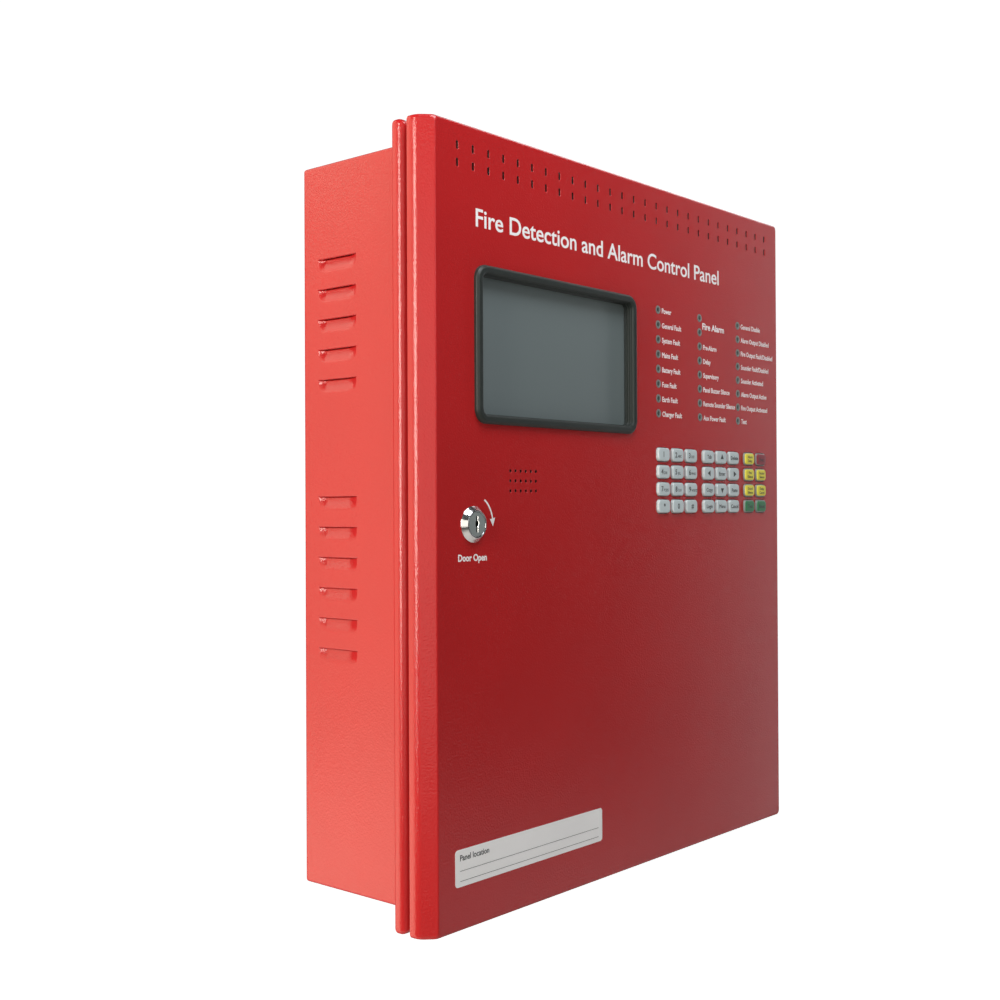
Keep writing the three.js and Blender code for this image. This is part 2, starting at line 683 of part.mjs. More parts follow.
// The lock: a bezel and barrel through the door, its nut, and the plug that turns with the cam.
function buildLock(door) {
  const front = DOOR_FRONT - LOCK.proud;
  const barrelBack = -101;
  const bore = LOCK.plug + 0.3;
  const headBore = PLUG_HEAD.radius + 0.3;
  const headBack = front + PLUG_HEAD.sunk + PLUG_HEAD.depth;
  const body = turned(
    [
      [headBore, front],
      [LOCK.face, front],
      [LOCK.bezel, DOOR_FRONT - 1],
      [LOCK.bezel, DOOR_FRONT - GAP],
      [LOCK.barrel, DOOR_FRONT - GAP],
      [LOCK.barrel, barrelBack],
      [bore, barrelBack],
      [bore, headBack + GAP],
      [headBore, headBack + GAP],
      [headBore, front],
    ],
    LOCK.x,
    LOCK.z,
  );
  addMesh("lock_body", geometryOf(body), CHROME, 0, 0, 0, door);

  const nutFront = DOOR_INSIDE + GAP;
  const nut = barY(14, nutFront, nutFront + 4, LOCK.x, LOCK.z, 6);
  const nutHole = barY(LOCK.barrel + GAP, nutFront - 1, nutFront + 5, LOCK.x, LOCK.z, 24);
  addMesh("lock_nut", geometryOf(nut.subtract(nutHole)), ZINC, 0, 0, 0, door);

  const plugFront = front + PLUG_HEAD.sunk;
  const camFront = CAM_BACK - 2.5;
  const head = barY(PLUG_HEAD.radius, plugFront, headBack, LOCK.x, LOCK.z, 24);
  const barrel = barY(LOCK.plug, headBack - 0.2, camFront - GAP, LOCK.x, LOCK.z, 24);
  const slot = [LOCK.x - 0.8, LOCK.x + 0.8, plugFront - 1, plugFront + 9, LOCK.z - 4.6, LOCK.z + 4.6];
  const keyway = box(...slot);
  const tail = box(LOCK.x - 3, LOCK.x + 3, camFront - 1, CAM_BACK + 2, LOCK.z - 3, LOCK.z + 3);
  addMesh("lock_plug", geometryOf(head.add(barrel).subtract(keyway).add(tail)), CHROME, 0, 0, 0, door);

  const arm = box(LOCK.x - 8, LOCK.x + 8, camFront, CAM_BACK, LOCK.z - 8, LOCK.z + CAM_LENGTH);
  const side = 3 + GAP;
  const square = box(
    LOCK.x - side,
    LOCK.x + side,
    camFront - 1,
    CAM_BACK + 1,
    LOCK.z - side,
    LOCK.z + side,
  );
  addMesh("lock_cam", geometryOf(arm.subtract(square)), ZINC, 0, 0, 0, door);
}

// ---- assembly ----------------------------------------------------------------------------------

const door = new THREE.Group();
panel.add(door);

buildBackBox();
buildFrontFrame();
buildCableGrommets();
buildChassisPlate();
buildMainBoard();
buildTerminalStrip();
buildPowerSupply();
buildMainsTerminalBlock();
buildBatteries();
buildBatteryBracket();
buildRibbonCable();
buildHinges(door);
buildDoor(door);
buildDisplayGasket(door);
buildDisplayModule(door);
buildControlBoard(door);
buildKeypadMat(door);
buildIndicatorLensBar(door);
buildSounder(door);
buildKeys(door);
buildLock(door);

export default panel;
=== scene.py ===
"""Looks of a wall-mounted fire alarm control panel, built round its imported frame.

The cabinet is folded from red powder-coated sheet. Its door carries a screen in a rubber surround,
indicators, keys, a sounder and a key lock, and behind it are the boards, the power supply and the
standby batteries. Lengths are in millimetres in this file, and Shell.build turns them into metres.
The wall is the plane y = 0, the door faces -Y and +Z is up.
"""

import json
import logging
import math
from dataclasses import dataclass
from enum import Enum
from typing import Sequence

import bmesh
import bpy
import numpy as np
from mathutils import Matrix, Vector
from mathutils.geometry import delaunay_2d_cdt

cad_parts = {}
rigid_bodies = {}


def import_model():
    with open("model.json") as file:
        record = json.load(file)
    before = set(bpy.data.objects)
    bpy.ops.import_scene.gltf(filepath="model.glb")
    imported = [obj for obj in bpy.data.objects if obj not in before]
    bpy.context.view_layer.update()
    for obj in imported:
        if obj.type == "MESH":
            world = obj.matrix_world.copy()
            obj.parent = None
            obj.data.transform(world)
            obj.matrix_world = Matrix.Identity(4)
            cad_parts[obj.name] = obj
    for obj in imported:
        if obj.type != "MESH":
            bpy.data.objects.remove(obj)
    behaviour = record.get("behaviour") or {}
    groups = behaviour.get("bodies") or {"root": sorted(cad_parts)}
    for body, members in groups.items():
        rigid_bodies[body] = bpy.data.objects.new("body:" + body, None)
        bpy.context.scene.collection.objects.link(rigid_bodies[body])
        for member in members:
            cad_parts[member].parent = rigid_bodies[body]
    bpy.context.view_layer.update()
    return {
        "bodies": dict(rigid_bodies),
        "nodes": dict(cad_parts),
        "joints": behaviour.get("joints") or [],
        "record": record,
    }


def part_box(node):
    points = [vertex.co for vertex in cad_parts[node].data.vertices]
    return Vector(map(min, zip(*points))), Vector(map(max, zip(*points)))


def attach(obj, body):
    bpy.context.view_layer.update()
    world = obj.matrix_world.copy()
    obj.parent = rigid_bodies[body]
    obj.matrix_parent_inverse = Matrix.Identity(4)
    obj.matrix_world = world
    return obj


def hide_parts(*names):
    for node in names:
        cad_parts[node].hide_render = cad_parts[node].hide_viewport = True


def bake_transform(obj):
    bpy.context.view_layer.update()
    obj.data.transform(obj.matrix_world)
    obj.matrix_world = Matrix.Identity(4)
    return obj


log = logging.getLogger("panel")

MM = 0.001
Array = np.ndarray
Colour = tuple[float, float, float]


class Axis(Enum):
    """The direction that a profile's depth runs in, as the order of (across, up, depth) in x, y, z."""

    X = (2, 0, 1)
    Y = (0, 2, 1)
    Z = (0, 1, 2)

    def place(self, flat: Array, depth: Array | float) -> Array:
        """Puts flat points at their depths.

        Args:
            flat: points (..., 2), across and up.
            depth: their depths, of a shape that broadcasts to flat's.

        Returns:
            Points (..., 3) in x, y, z.
        """
        across, up = flat[..., 0], flat[..., 1]
        deep = np.broadcast_to(depth, across.shape)
        return np.stack([(across, up, deep)[i] for i in self.value], axis=-1)


# ---- outlines and profiles ------------------------------------------------------------------------


def fillet(points: Sequence[Sequence[float]], radii: Sequence[float], steps: int = 5) -> Array:
    """Rounds the corners of a polyline.

    Each inner corner becomes an arc of its radius that touches both sides. The arc starts
    radius * tan(turn / 2) before the corner and turns by the angle between the two sides.

    Args:
        points: the polyline's points, two numbers each.
        radii: one radius for each inner point, 0 for a sharp corner.
        steps: segments in each arc.

    Returns:
        The rounded polyline, (N, 2).
    """
    line = np.asarray(points, float)
    made = [line[:1]]
    for before, corner, after, radius in zip(line, line[1:], line[2:], radii):
        into = (corner - before) / np.linalg.norm(corner - before)
        away = (after - corner) / np.linalg.norm(after - corner)
        turn = math.atan2(into[0] * away[1] - into[1] * away[0], into @ away)
        if radius <= 0 or abs(turn) < 1e-6:
            made.append(corner[None])
            continue
        inward = np.array([-into[1], into[0]]) * math.copysign(1, turn)
        centre = corner - into * radius * math.tan(abs(turn) / 2) + inward * radius
        spoke = -inward * radius
        angle = np.linspace(0, turn, steps + 1)
        cos, sin = np.cos(angle), np.sin(angle)
        made.append(
            centre + np.stack([spoke[0] * cos - spoke[1] * sin, spoke[0] * sin + spoke[1] * cos], 1)
        )
    made.append(line[-1:])
    return np.concatenate(made)


def rounded(half_x: Array | float, half_z: Array | float, corner: Array | float, steps: int = 6) -> Array:
    """Outlines of rectangles with round corners, or of circles and slots.

    A point is the corner's centre plus the corner's radius in the direction of its angle, with the
    angle running once round.

    Args:
        half_x: half widths, one for each of P outlines.
        half_z: half heights.
        corner: corner radii.
        steps: segments in each corner.

    Returns:
        Outlines (P, 4 * (steps + 1), 2), anticlockwise from the right.
    """
    half_x, half_z, corner = np.broadcast_arrays(*np.atleast_1d(half_x, half_z, corner))
    corner = np.minimum(corner, np.minimum(half_x, half_z))[:, None, None]
    angle = (np.arange(4)[:, None] + np.linspace(0, 1, steps + 1)) * math.pi / 2
    sign_x = np.array([1, -1, -1, 1])[:, None]
    sign_z = np.array([1, 1, -1, -1])[:, None]
    x = sign_x * (half_x[:, None, None] - corner) + corner * np.cos(angle)
    z = sign_z * (half_z[:, None, None] - corner) + corner * np.sin(angle)
    return np.stack([x, z], -1).reshape(len(half_x), -1, 2)


def arc(centre: Sequence[float], radius: float, start: float, stop: float, count: int) -> Array:
    """Points (count, 2) on a circle, from one angle to another in degrees."""
    angle = np.radians(np.linspace(start, stop, count))
    return np.asarray(centre) + radius * np.stack([np.cos(angle), np.sin(angle)], 1)


def drum(radius: float, near: float, far: float, rounds: Sequence[float] = (0, 0), steps: int = 3) -> Array:
    """Profile of a plain cylinder between two depths, with a rounding for each of its rims."""
    return fillet([(0, near), (radius, near), (radius, far), (0, far)], rounds, steps)


def grid_places(xs: Sequence[float], zs: Sequence[float]) -> Array:
    """Every pair of one across and one up, row by row, as (N, 2)."""
    across, up = np.meshgrid(xs, zs)
    return np.stack([across.ravel(), up.ravel()], 1)


def spots(xs: Sequence[float], zs: Sequence[float], y: float = 0) -> Array:
    """Every pair of one x and one z at the same depth, column by column, as (N, 3)."""
    return np.array([(x, y, z) for x in xs for z in zs])


# ---- meshes ---------------------------------------------------------------------------------------


class Shell:
    """Points and faces gathered part by part and written into one mesh. Lengths are millimetres."""

    def __init__(self) -> None:
        """Starts with no points."""
        self.points: list[Array] = []
        self.faces: list[list[int]] = []
        self.slots: list[int] = []
        self.size = 0

    def add(self, points: Array, faces: Array | list, slot: int = 0) -> None:
        """Adds faces over new points.

        Args:
            points: (N, 3).
            faces: rows of indices into points.
            slot: the finish that they take, by number.
        """
        base = self.size
        self.points.append(np.asarray(points, float).reshape(-1, 3))
        rows = (np.asarray(faces) + base).tolist() if isinstance(faces, np.ndarray) else [
            [i + base for i in face] for face in faces
        ]
        self.faces.extend(rows)
        self.slots.extend([slot] * len(rows))
        self.size += len(self.points[-1])

    def grid(
        self, points: Array, wrap_u: bool = False, wrap_v: bool = True, slot: int = 0,
        skip: Sequence[int] = (),
    ) -> None:
        """Adds a surface over a grid of points, four corners to a face.

        Args:
            points: (U, V, 3).
            wrap_u: the last row joins the first.
            wrap_v: the last column joins the first.
            slot: the finish by number.
            skip: columns to leave open.
        """
        rows, columns = points.shape[:2]
        u = np.arange(rows if wrap_u else rows - 1)[:, None]
        v = np.setdiff1d(np.arange(columns if wrap_v else columns - 1), skip)[None]
        next_u, next_v = (u + 1) % rows, (v + 1) % columns
        corners = (u * columns + v, u * columns + next_v, next_u * columns + next_v, next_u * columns + v)
        self.add(points, np.stack(corners, -1).reshape(-1, 4), slot)

    def cap(self, ring: Array, slot: int = 0) -> None:
        """Closes a flat ring (N, 3) with one face."""
        self.add(ring, np.arange(len(ring))[None], slot)

    def sheet(self, outlines: list[Array], depth: float, axis: Axis = Axis.Y, slot: int = 0) -> None:
        """Adds a flat sheet with holes.

        Args:
            outlines: the outer outline and then the holes, (N, 2) each.
            depth: where the sheet is along the axis.
            axis: the sheet's normal.
            slot: the finish by number.
        """
        starts = np.cumsum([0] + [len(o) for o in outlines])
        rings = [list(range(a, b)) for a, b in zip(starts, starts[1:])]
        flat = [Vector(p) for p in np.concatenate(outlines)]
        points, _, faces, *_ = delaunay_2d_cdt(flat, [], rings, 2, 1e-5)
        self.add(axis.place(np.array([tuple(p) for p in points]), depth), [list(f) for f in faces], slot)

    def loft(
        self, outlines: Array, depths: Array, axis: Axis = Axis.Y, slot: int = 0, ends: bool = True
    ) -> None:
        """Joins outlines (P, N, 2) at P depths with a skin, and closes the two ends."""
        rings = axis.place(outlines, np.asarray(depths, float)[:, None])
        self.grid(rings, slot=slot)
        if ends:
            self.cap(rings[0], slot)
            self.cap(rings[-1], slot)

    def slab(
        self, low: Sequence[float], high: Sequence[float], edge: float = 0.3, corner: float = 0.5,
        axis: Axis = Axis.Y, slot: int = 0, steps: int = 2,
    ) -> "Shell":
        """Adds a block with round edges.

        Its outline is a rounded rectangle across the axis, drawn in by a quarter circle at each end.

        Args:
            low: the lowest x, y and z.
            high: the highest.
            edge: radius of the rounding at the two ends.
            corner: radius of the outline's corners.
            axis: the direction that it is drawn out in.
            slot: the finish by number.
            steps: segments in each rounding.

        Returns:
            The shell itself.
        """
        order = np.argsort(axis.value)
        a = np.minimum(low, high)[order].astype(float)
        b = np.maximum(low, high)[order].astype(float)
        turn = np.linspace(0, math.pi / 2, steps + 1)
        inset = edge * (1 - np.sin(turn))
        rise = edge * (1 - np.cos(turn))
        insets = np.concatenate([inset, inset[::-1]])
        depths = np.concatenate([a[2] + rise, b[2] - rise[::-1]])
        half = (b - a) / 2
        radius = np.maximum(corner - insets, 0.05)
        flat = rounded(half[0] - insets, half[1] - insets, radius, steps) + (a[:2] + b[:2]) / 2
        self.loft(flat, depths, axis, slot)
        return self

    def lathe(
        self, profile: Array, centre: Sequence[float] = (0, 0), axis: Axis = Axis.Y, segments: int = 48,
        slot: int = 0, closed: bool = False,
    ) -> "Shell":
        """Turns a profile about the axis.

        A point is the centre plus its radius in the direction of an angle, at its depth.

        Args:
            profile: (P, 2), radius and depth. It starts and ends on the axis, or is closed.
            centre: the axis's place, across and up.
            axis: its direction.
            segments: faces round.
            slot: the finish by number.
            closed: the profile's last point joins its first.

        Returns:
            The shell itself.
        """
        profile = np.asarray(profile, float)
        angle = np.linspace(0, 2 * math.pi, segments, endpoint=False)
        spokes = np.stack([np.cos(angle), np.sin(angle)], 1)
        flat = profile[:, None, :1] * spokes + np.asarray(centre, float)
        self.grid(axis.place(flat, profile[:, 1:]), wrap_u=closed, slot=slot)
        return self

    def plate(self, outlines: list[Array], near: float, far: float) -> None:
        """Adds a flat plate with square edges that faces -Y.

        Args:
            outlines: the outer outline and then the holes, (N, 2) each.
            near: depth of one side.
            far: depth of the other.
        """
        for depth in (near, far):
            self.sheet(outlines, depth)
        for ring in outlines:
            self.loft(np.stack([ring, ring]), np.array([near, far]), ends=False)

    def prism(self, outline: Array, near: float, far: float, axis: Axis = Axis.Y, slot: int = 0) -> None:
        """Draws an outline (N, 2) out from one depth to another, with sharp edges."""
        self.loft(np.stack([outline, outline]), np.array([near, far]), axis, slot)

    def repeat(self, part: "Shell", places: Array) -> None:
        """Adds copies of another shell, each moved by one row of places (K, 3)."""
        points = np.concatenate(part.points)
        for place in np.asarray(places, float):
            base = self.size
            self.points.append(points + place)
            self.faces.extend([[i + base for i in face] for face in part.faces])
            self.slots.extend(part.slots)
            self.size += len(points)

    def row(self, part: "Shell", start: Sequence[float], step: Sequence[float], count: int) -> None:
        """Adds copies of another shell in a straight row, each one step after the last."""
        self.repeat(part, np.array(start) + np.arange(count)[:, None] * np.array(step))

    def build(
        self, name: str, finishes: Sequence[bpy.types.Material], sharp: float = 38, wall: float = 0
    ) -> bpy.types.Object:
        """Writes the mesh and makes its object, at the origin and in metres.

        Args:
            name: the piece's name.
            finishes: materials, in the order of the slots.
            sharp: edges that turn by more than this many degrees stay sharp.
            wall: thickness that an open skin gets on its inner side, 0 for a closed body.

        Returns:
            The object.
        """
        mesh = bpy.data.meshes.new(name)
        mesh.from_pydata((np.concatenate(self.points) * MM).tolist(), [], self.faces)
        mesh.polygons.foreach_set("material_index", np.array(self.slots, dtype=np.int32))
        work = bmesh.new()
        work.from_mesh(mesh)
        bmesh.ops.remove_doubles(work, verts=work.verts, dist=2e-6)
        bmesh.ops.recalc_face_normals(work, faces=work.faces)
        work.to_mesh(mesh)
        work.free()
        mesh.polygons.foreach_set("use_smooth", np.ones(len(mesh.polygons), dtype=bool))
        mesh.set_sharp_from_angle(angle=math.radians(sharp))
        piece = bpy.data.objects.new(name, mesh)
        bpy.context.scene.collection.objects.link(piece)
        for finish in finishes:
            mesh.materials.append(finish)
        if wall:
            solid = piece.modifiers.new("wall", "SOLIDIFY")
            solid.thickness = wall * MM
            solid.offset = -1
            solid.use_even_offset = True
        weighted = piece.modifiers.new("weighted", "WEIGHTED_NORMAL")
        weighted.keep_sharp = True
        weighted.weight = 90
        return piece


def fit(piece: bpy.types.Object, body: str, slot: str, *nodes: str) -> None:
    """Puts a piece on its body, in the place of its nodes, and reports it.

    Args:
        piece: the finished piece.
        body: the body that it rides on.
        slot: the record's material slot, not used.
        nodes: the nodes that it stands for.
    """
    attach(piece, body)
    if nodes:
        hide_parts(*nodes)
    log.info("%s rides on %s, %d faces", piece.name, body, len(piece.data.polygons))


def node_box(node: str) -> tuple[Array, Array]:
    """Lowest and highest corner of a node in millimetres."""
    low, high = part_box(node)
    return np.array(low) / MM, np.array(high) / MM


def folded_strip(node: str, thick: float, outer: float, inner: float, steps: int) -> Shell:
    """A strip folded back at both sides, drawn upwards over a node's box.

    Its section is a square-cornered channel that opens to the wall, with rounded folds.

    Args:
        node: the node that gives its size.
        thick: thickness of the sheet.
        outer: outer radius of the folds.
        inner: inner radius of the folds.
        steps: segments in each fold.

    Returns:
        The strip.
    """
    low, high = node_box(node)
    section = [
        (low[0], high[1]), (low[0], low[1]), (high[0], low[1]), (high[0], high[1]),
        (high[0] - thick, high[1]), (high[0] - thick, low[1] + thick),
        (low[0] + thick, low[1] + thick), (low[0] + thick, high[1]), (low[0], high[1]),
    ]
    edge = 0.2
    outline = fillet(section, (outer, outer, edge, edge, inner, inner, edge), steps)[:-1]
    shell = Shell()
    shell.loft(np.stack([outline, outline]), np.array([low[2], high[2]]), Axis.Z, ends=False)
    for depth in (low[2], high[2]):
        shell.sheet([outline], depth, Axis.Z)
    return shell


# ---- finishes -------------------------------------------------------------------------------------


class Nodes:
    """Short ways to make the nodes of one material."""

    def __init__(self, name: str) -> None:
        """Starts a material with its shader and the object's own coordinates."""
        self.material = bpy.data.materials.new(name)
        self.material.use_nodes = True
        self.tree = self.material.node_tree
        self.shader = self.tree.nodes["Principled BSDF"]
        self.where = self.tree.nodes.new("ShaderNodeTexCoord").outputs["Object"]

    def node(self, kind: str, **settings: object) -> bpy.types.Node:
        """A node of a kind, with its settings."""
        made = self.tree.nodes.new(kind)
        for key, value in settings.items():
            setattr(made, key, value)
        return made

    def link(self, source: bpy.types.NodeSocket, target: bpy.types.NodeSocket) -> None:
        """Joins two sockets."""
        self.tree.links.new(source, target)

    def stretched(self, scale: Sequence[float]) -> bpy.types.NodeSocket:
        """The object's coordinates, scaled along each axis."""
        mapping = self.node("ShaderNodeMapping")
        mapping.inputs["Scale"].default_value = scale
        self.link(self.where, mapping.inputs["Vector"])
        return mapping.outputs["Vector"]

    def noise(
        self, size: float, detail: float = 2, where: bpy.types.NodeSocket | None = None
    ) -> bpy.types.NodeSocket:
        """Noise from 0 to 1 whose grains are size millimetres across."""
        made = self.node("ShaderNodeTexNoise")
        made.inputs["Scale"].default_value = 1 / (size * MM)
        made.inputs["Detail"].default_value = detail
        self.link(where or self.where, made.inputs["Vector"])
        return made.outputs["Fac"]

    def ramp(self, value: bpy.types.NodeSocket, *range_: float) -> bpy.types.NodeSocket:
        """Maps a value from the range (a, b) to (c, d)."""
        made = self.node("ShaderNodeMapRange")
        for key, number in zip(("From Min", "From Max", "To Min", "To Max"), range_):
            made.inputs[key].default_value = number
        self.link(value, made.inputs["Value"])
        return made.outputs["Result"]

    def math(self, operation: str, a: object, b: object) -> bpy.types.NodeSocket:
        """The result of a sum on two sockets or numbers."""
        made = self.node("ShaderNodeMath", operation=operation)
        for socket, value in zip(made.inputs, (a, b)):
            if isinstance(value, bpy.types.NodeSocket):
                self.link(value, socket)
            else:
                socket.default_value = value
        return made.outputs[0]

    def mix(self, share: object, a: object, b: object) -> bpy.types.NodeSocket:
        """A colour between two colours or sockets."""
        made = self.node("ShaderNodeMix", data_type="RGBA")
        for socket, value in zip((made.inputs[0], made.inputs[6], made.inputs[7]), (share, a, b)):
            if isinstance(value, bpy.types.NodeSocket):
                self.link(value, socket)
            else:
                socket.default_value = (*value, 1) if isinstance(value, tuple) else value
        return made.outputs[2]

    def bump(self, height: bpy.types.NodeSocket, deep: float) -> None:
        """Raises the surface by height times deep millimetres."""
        made = self.node("ShaderNodeBump")
        made.inputs["Strength"].default_value = 1
        made.inputs["Distance"].default_value = deep * MM
        self.link(height, made.inputs["Height"])
        self.link(made.outputs["Normal"], self.shader.inputs["Normal"])

    def set(self, **values: float) -> None:
        """Sets plain numbers on the shader, with underscores for spaces in their names."""
        for key, value in values.items():
            self.shader.inputs[key.replace("_", " ")].default_value = value


def shade(colour: Colour, factor: float) -> Colour:
    """A colour made darker or lighter, held under 1."""
    return tuple(min(1.0, c * factor) for c in colour)


@dataclass(frozen=True)
class Finish:
    """A plain moulded, plated or painted surface with a fine grain and a slow change of tone.

    Attributes:
        name: the material's name.
        colour: its linear colour.
        rough: its roughness, which the grain moves a little.
        metal: 1 for bare metal.
        grain: size of the grain in millimetres.
        relief: height of the grain in millimetres.
        tone: how far the colour wanders, as a share.
        coat: weight of a clear coat.
        sheen: weight of a soft sheen at grazing angles.
        brushed: stretch of the grain along x, y and z.
    """

    name: str
    colour: Colour
    rough: float = 0.5
    metal: float = 0.0
    grain: float = 0.6
    relief: float = 0.01
    tone: float = 0.08
    coat: float = 0.0
    sheen: float = 0.0
    brushed: Colour = (1, 1, 1)

    def build(self) -> bpy.types.Material:
        """Makes the material."""
        n = Nodes(self.name)
        where = n.stretched(self.brushed)
        grain = n.noise(self.grain, 3, where)
        cloud = n.noise(22, 2)
        tone = n.mix(cloud, shade(self.colour, 1 - self.tone), shade(self.colour, 1 + self.tone))
        n.link(tone, n.shader.inputs["Base Color"])
        n.link(
            n.ramp(grain, 0.3, 0.7, max(self.rough - 0.06, 0.03), self.rough + 0.06),
            n.shader.inputs["Roughness"],
        )
        n.bump(grain, self.relief)
        n.set(Metallic=self.metal, Coat_Weight=self.coat, Sheen_Weight=self.sheen)
        return n.material


@dataclass(frozen=True)
class PowderCoat:
    """Baked powder coat: an orange-peel surface with a finer sand on it, glossy on the peaks."""

    name: str = "red powder coat"
    colour: Colour = (0.46, 0.0155, 0.017)
    peel: float = 1.2
    peel_height: float = 0.17
    sand: float = 0.5
    sand_height: float = 0.28

    def build(self) -> bpy.types.Material:
        """Makes the material."""
        n = Nodes(self.name)
        peel = n.noise(self.peel, 2)
        sand = n.noise(self.sand, 3)
        cloud = n.noise(60, 3)
        tone = n.mix(cloud, shade(self.colour, 0.93), shade(self.colour, 1.06))
        n.link(tone, n.shader.inputs["Base Color"])
        n.link(n.ramp(sand, 0.3, 0.7, 0.15, 0.2), n.shader.inputs["Roughness"])
        height = n.math("ADD", peel, n.math("MULTIPLY", sand, self.sand_height))
        n.bump(height, self.peel_height)
        n.set(Specular_IOR_Level=0.5)
        return n.material


@dataclass(frozen=True)
class Board:
    """Circuit board: solder mask over copper traces, with round pads."""

    name: str = "circuit board"
    mask: Colour = (0.012, 0.105, 0.04)
    trace: Colour = (0.03, 0.2, 0.075)
    pad: Colour = (0.62, 0.6, 0.52)

    def build(self) -> bpy.types.Material:
        """Makes the material."""
        n = Nodes(self.name)
        cells = n.node("ShaderNodeTexVoronoi", feature="DISTANCE_TO_EDGE", distance="EUCLIDEAN")
        cells.inputs["Scale"].default_value = 1 / (7 * MM)
        n.link(n.stretched((1, 1, 1.6)), cells.inputs["Vector"])
        line = n.ramp(cells.outputs["Distance"], 0.035, 0.06, 1, 0)
        dots = n.node("ShaderNodeTexVoronoi", feature="F1", distance="EUCLIDEAN")
        dots.inputs["Scale"].default_value = 1 / (5.08 * MM)
        dots.inputs["Randomness"].default_value = 0.25
        n.link(n.stretched((1, 0.001, 1)), dots.inputs["Vector"])
        pad = n.ramp(dots.outputs["Distance"], 0.13, 0.17, 1, 0)
        traces = n.mix(line, self.mask, self.trace)
        n.link(n.mix(pad, traces, self.pad), n.shader.inputs["Base Color"])
        n.link(pad, n.shader.inputs["Metallic"])
        n.link(n.ramp(n.noise(0.8, 2), 0.3, 0.7, 0.25, 0.4), n.shader.inputs["Roughness"])
        n.bump(n.math("ADD", line, pad), 0.03)
        return n.material


@dataclass(frozen=True)
class Screen:
    """Anti-glare screen: a fine matte grain over a faint grid of picture cells."""

    name: str = "screen"
    colour: Colour = (0.165, 0.203, 0.207)

    def build(self) -> bpy.types.Material:
        """Makes the material."""
        n = Nodes(self.name)
        cells = n.node("ShaderNodeTexVoronoi", feature="F1", distance="CHEBYCHEV")
        cells.inputs["Scale"].default_value = 1 / (0.6 * MM)
        cells.inputs["Randomness"].default_value = 0
        n.link(n.where, cells.inputs["Vector"])
        grid = n.ramp(cells.outputs["Distance"], 0.4, 0.5, 0, 1)
        tone = n.mix(n.noise(90, 1), shade(self.colour, 0.9), shade(self.colour, 1.12))
        n.link(n.mix(grid, tone, shade(self.colour, 0.86)), n.shader.inputs["Base Color"])
        n.link(n.ramp(n.noise(0.4, 2), 0.3, 0.7, 0.3, 0.42), n.shader.inputs["Roughness"])
        n.bump(n.noise(0.25, 2), 0.004)
        n.set(Coat_Weight=0.35, Coat_Roughness=0.3)
        return n.material


@dataclass(frozen=True)
class Ribbon:
    """Flat cable: parallel insulated wires, with a red wire at one edge, and painted shade that makes each
    wire lighter on its crown and darker in the grooves between.
    """

    name: str = "ribbon cable"
    colour: Colour = (0.42, 0.42, 0.4)
    pitch: float = 1.27

    def build(self) -> bpy.types.Material:
        """Makes the material."""
        n = Nodes(self.name)
        split = n.node("ShaderNodeSeparateXYZ")
        n.link(n.where, split.inputs[0])
        wires = n.math("MULTIPLY", split.outputs["Z"], 2 * math.pi / (self.pitch * MM))
        ridge_and_shade = n.math("SINE", wires, 0)
        edge = n.math("LESS_THAN", split.outputs["Z"], 33.2 * MM)
        # painted shade: the grey darkens in the grooves between wires and lightens on their crowns
        tone = n.mix(n.ramp(ridge_and_shade, -1, 1, 0, 1), shade(self.colour, 0.7), shade(self.colour, 1.15))
        n.link(n.mix(edge, tone, (0.5, 0.03, 0.03)), n.shader.inputs["Base Color"])
        n.bump(n.math("ADD", ridge_and_shade, n.noise(2, 1)), 0.12)
        n.set(Roughness=0.45)
        return n.material


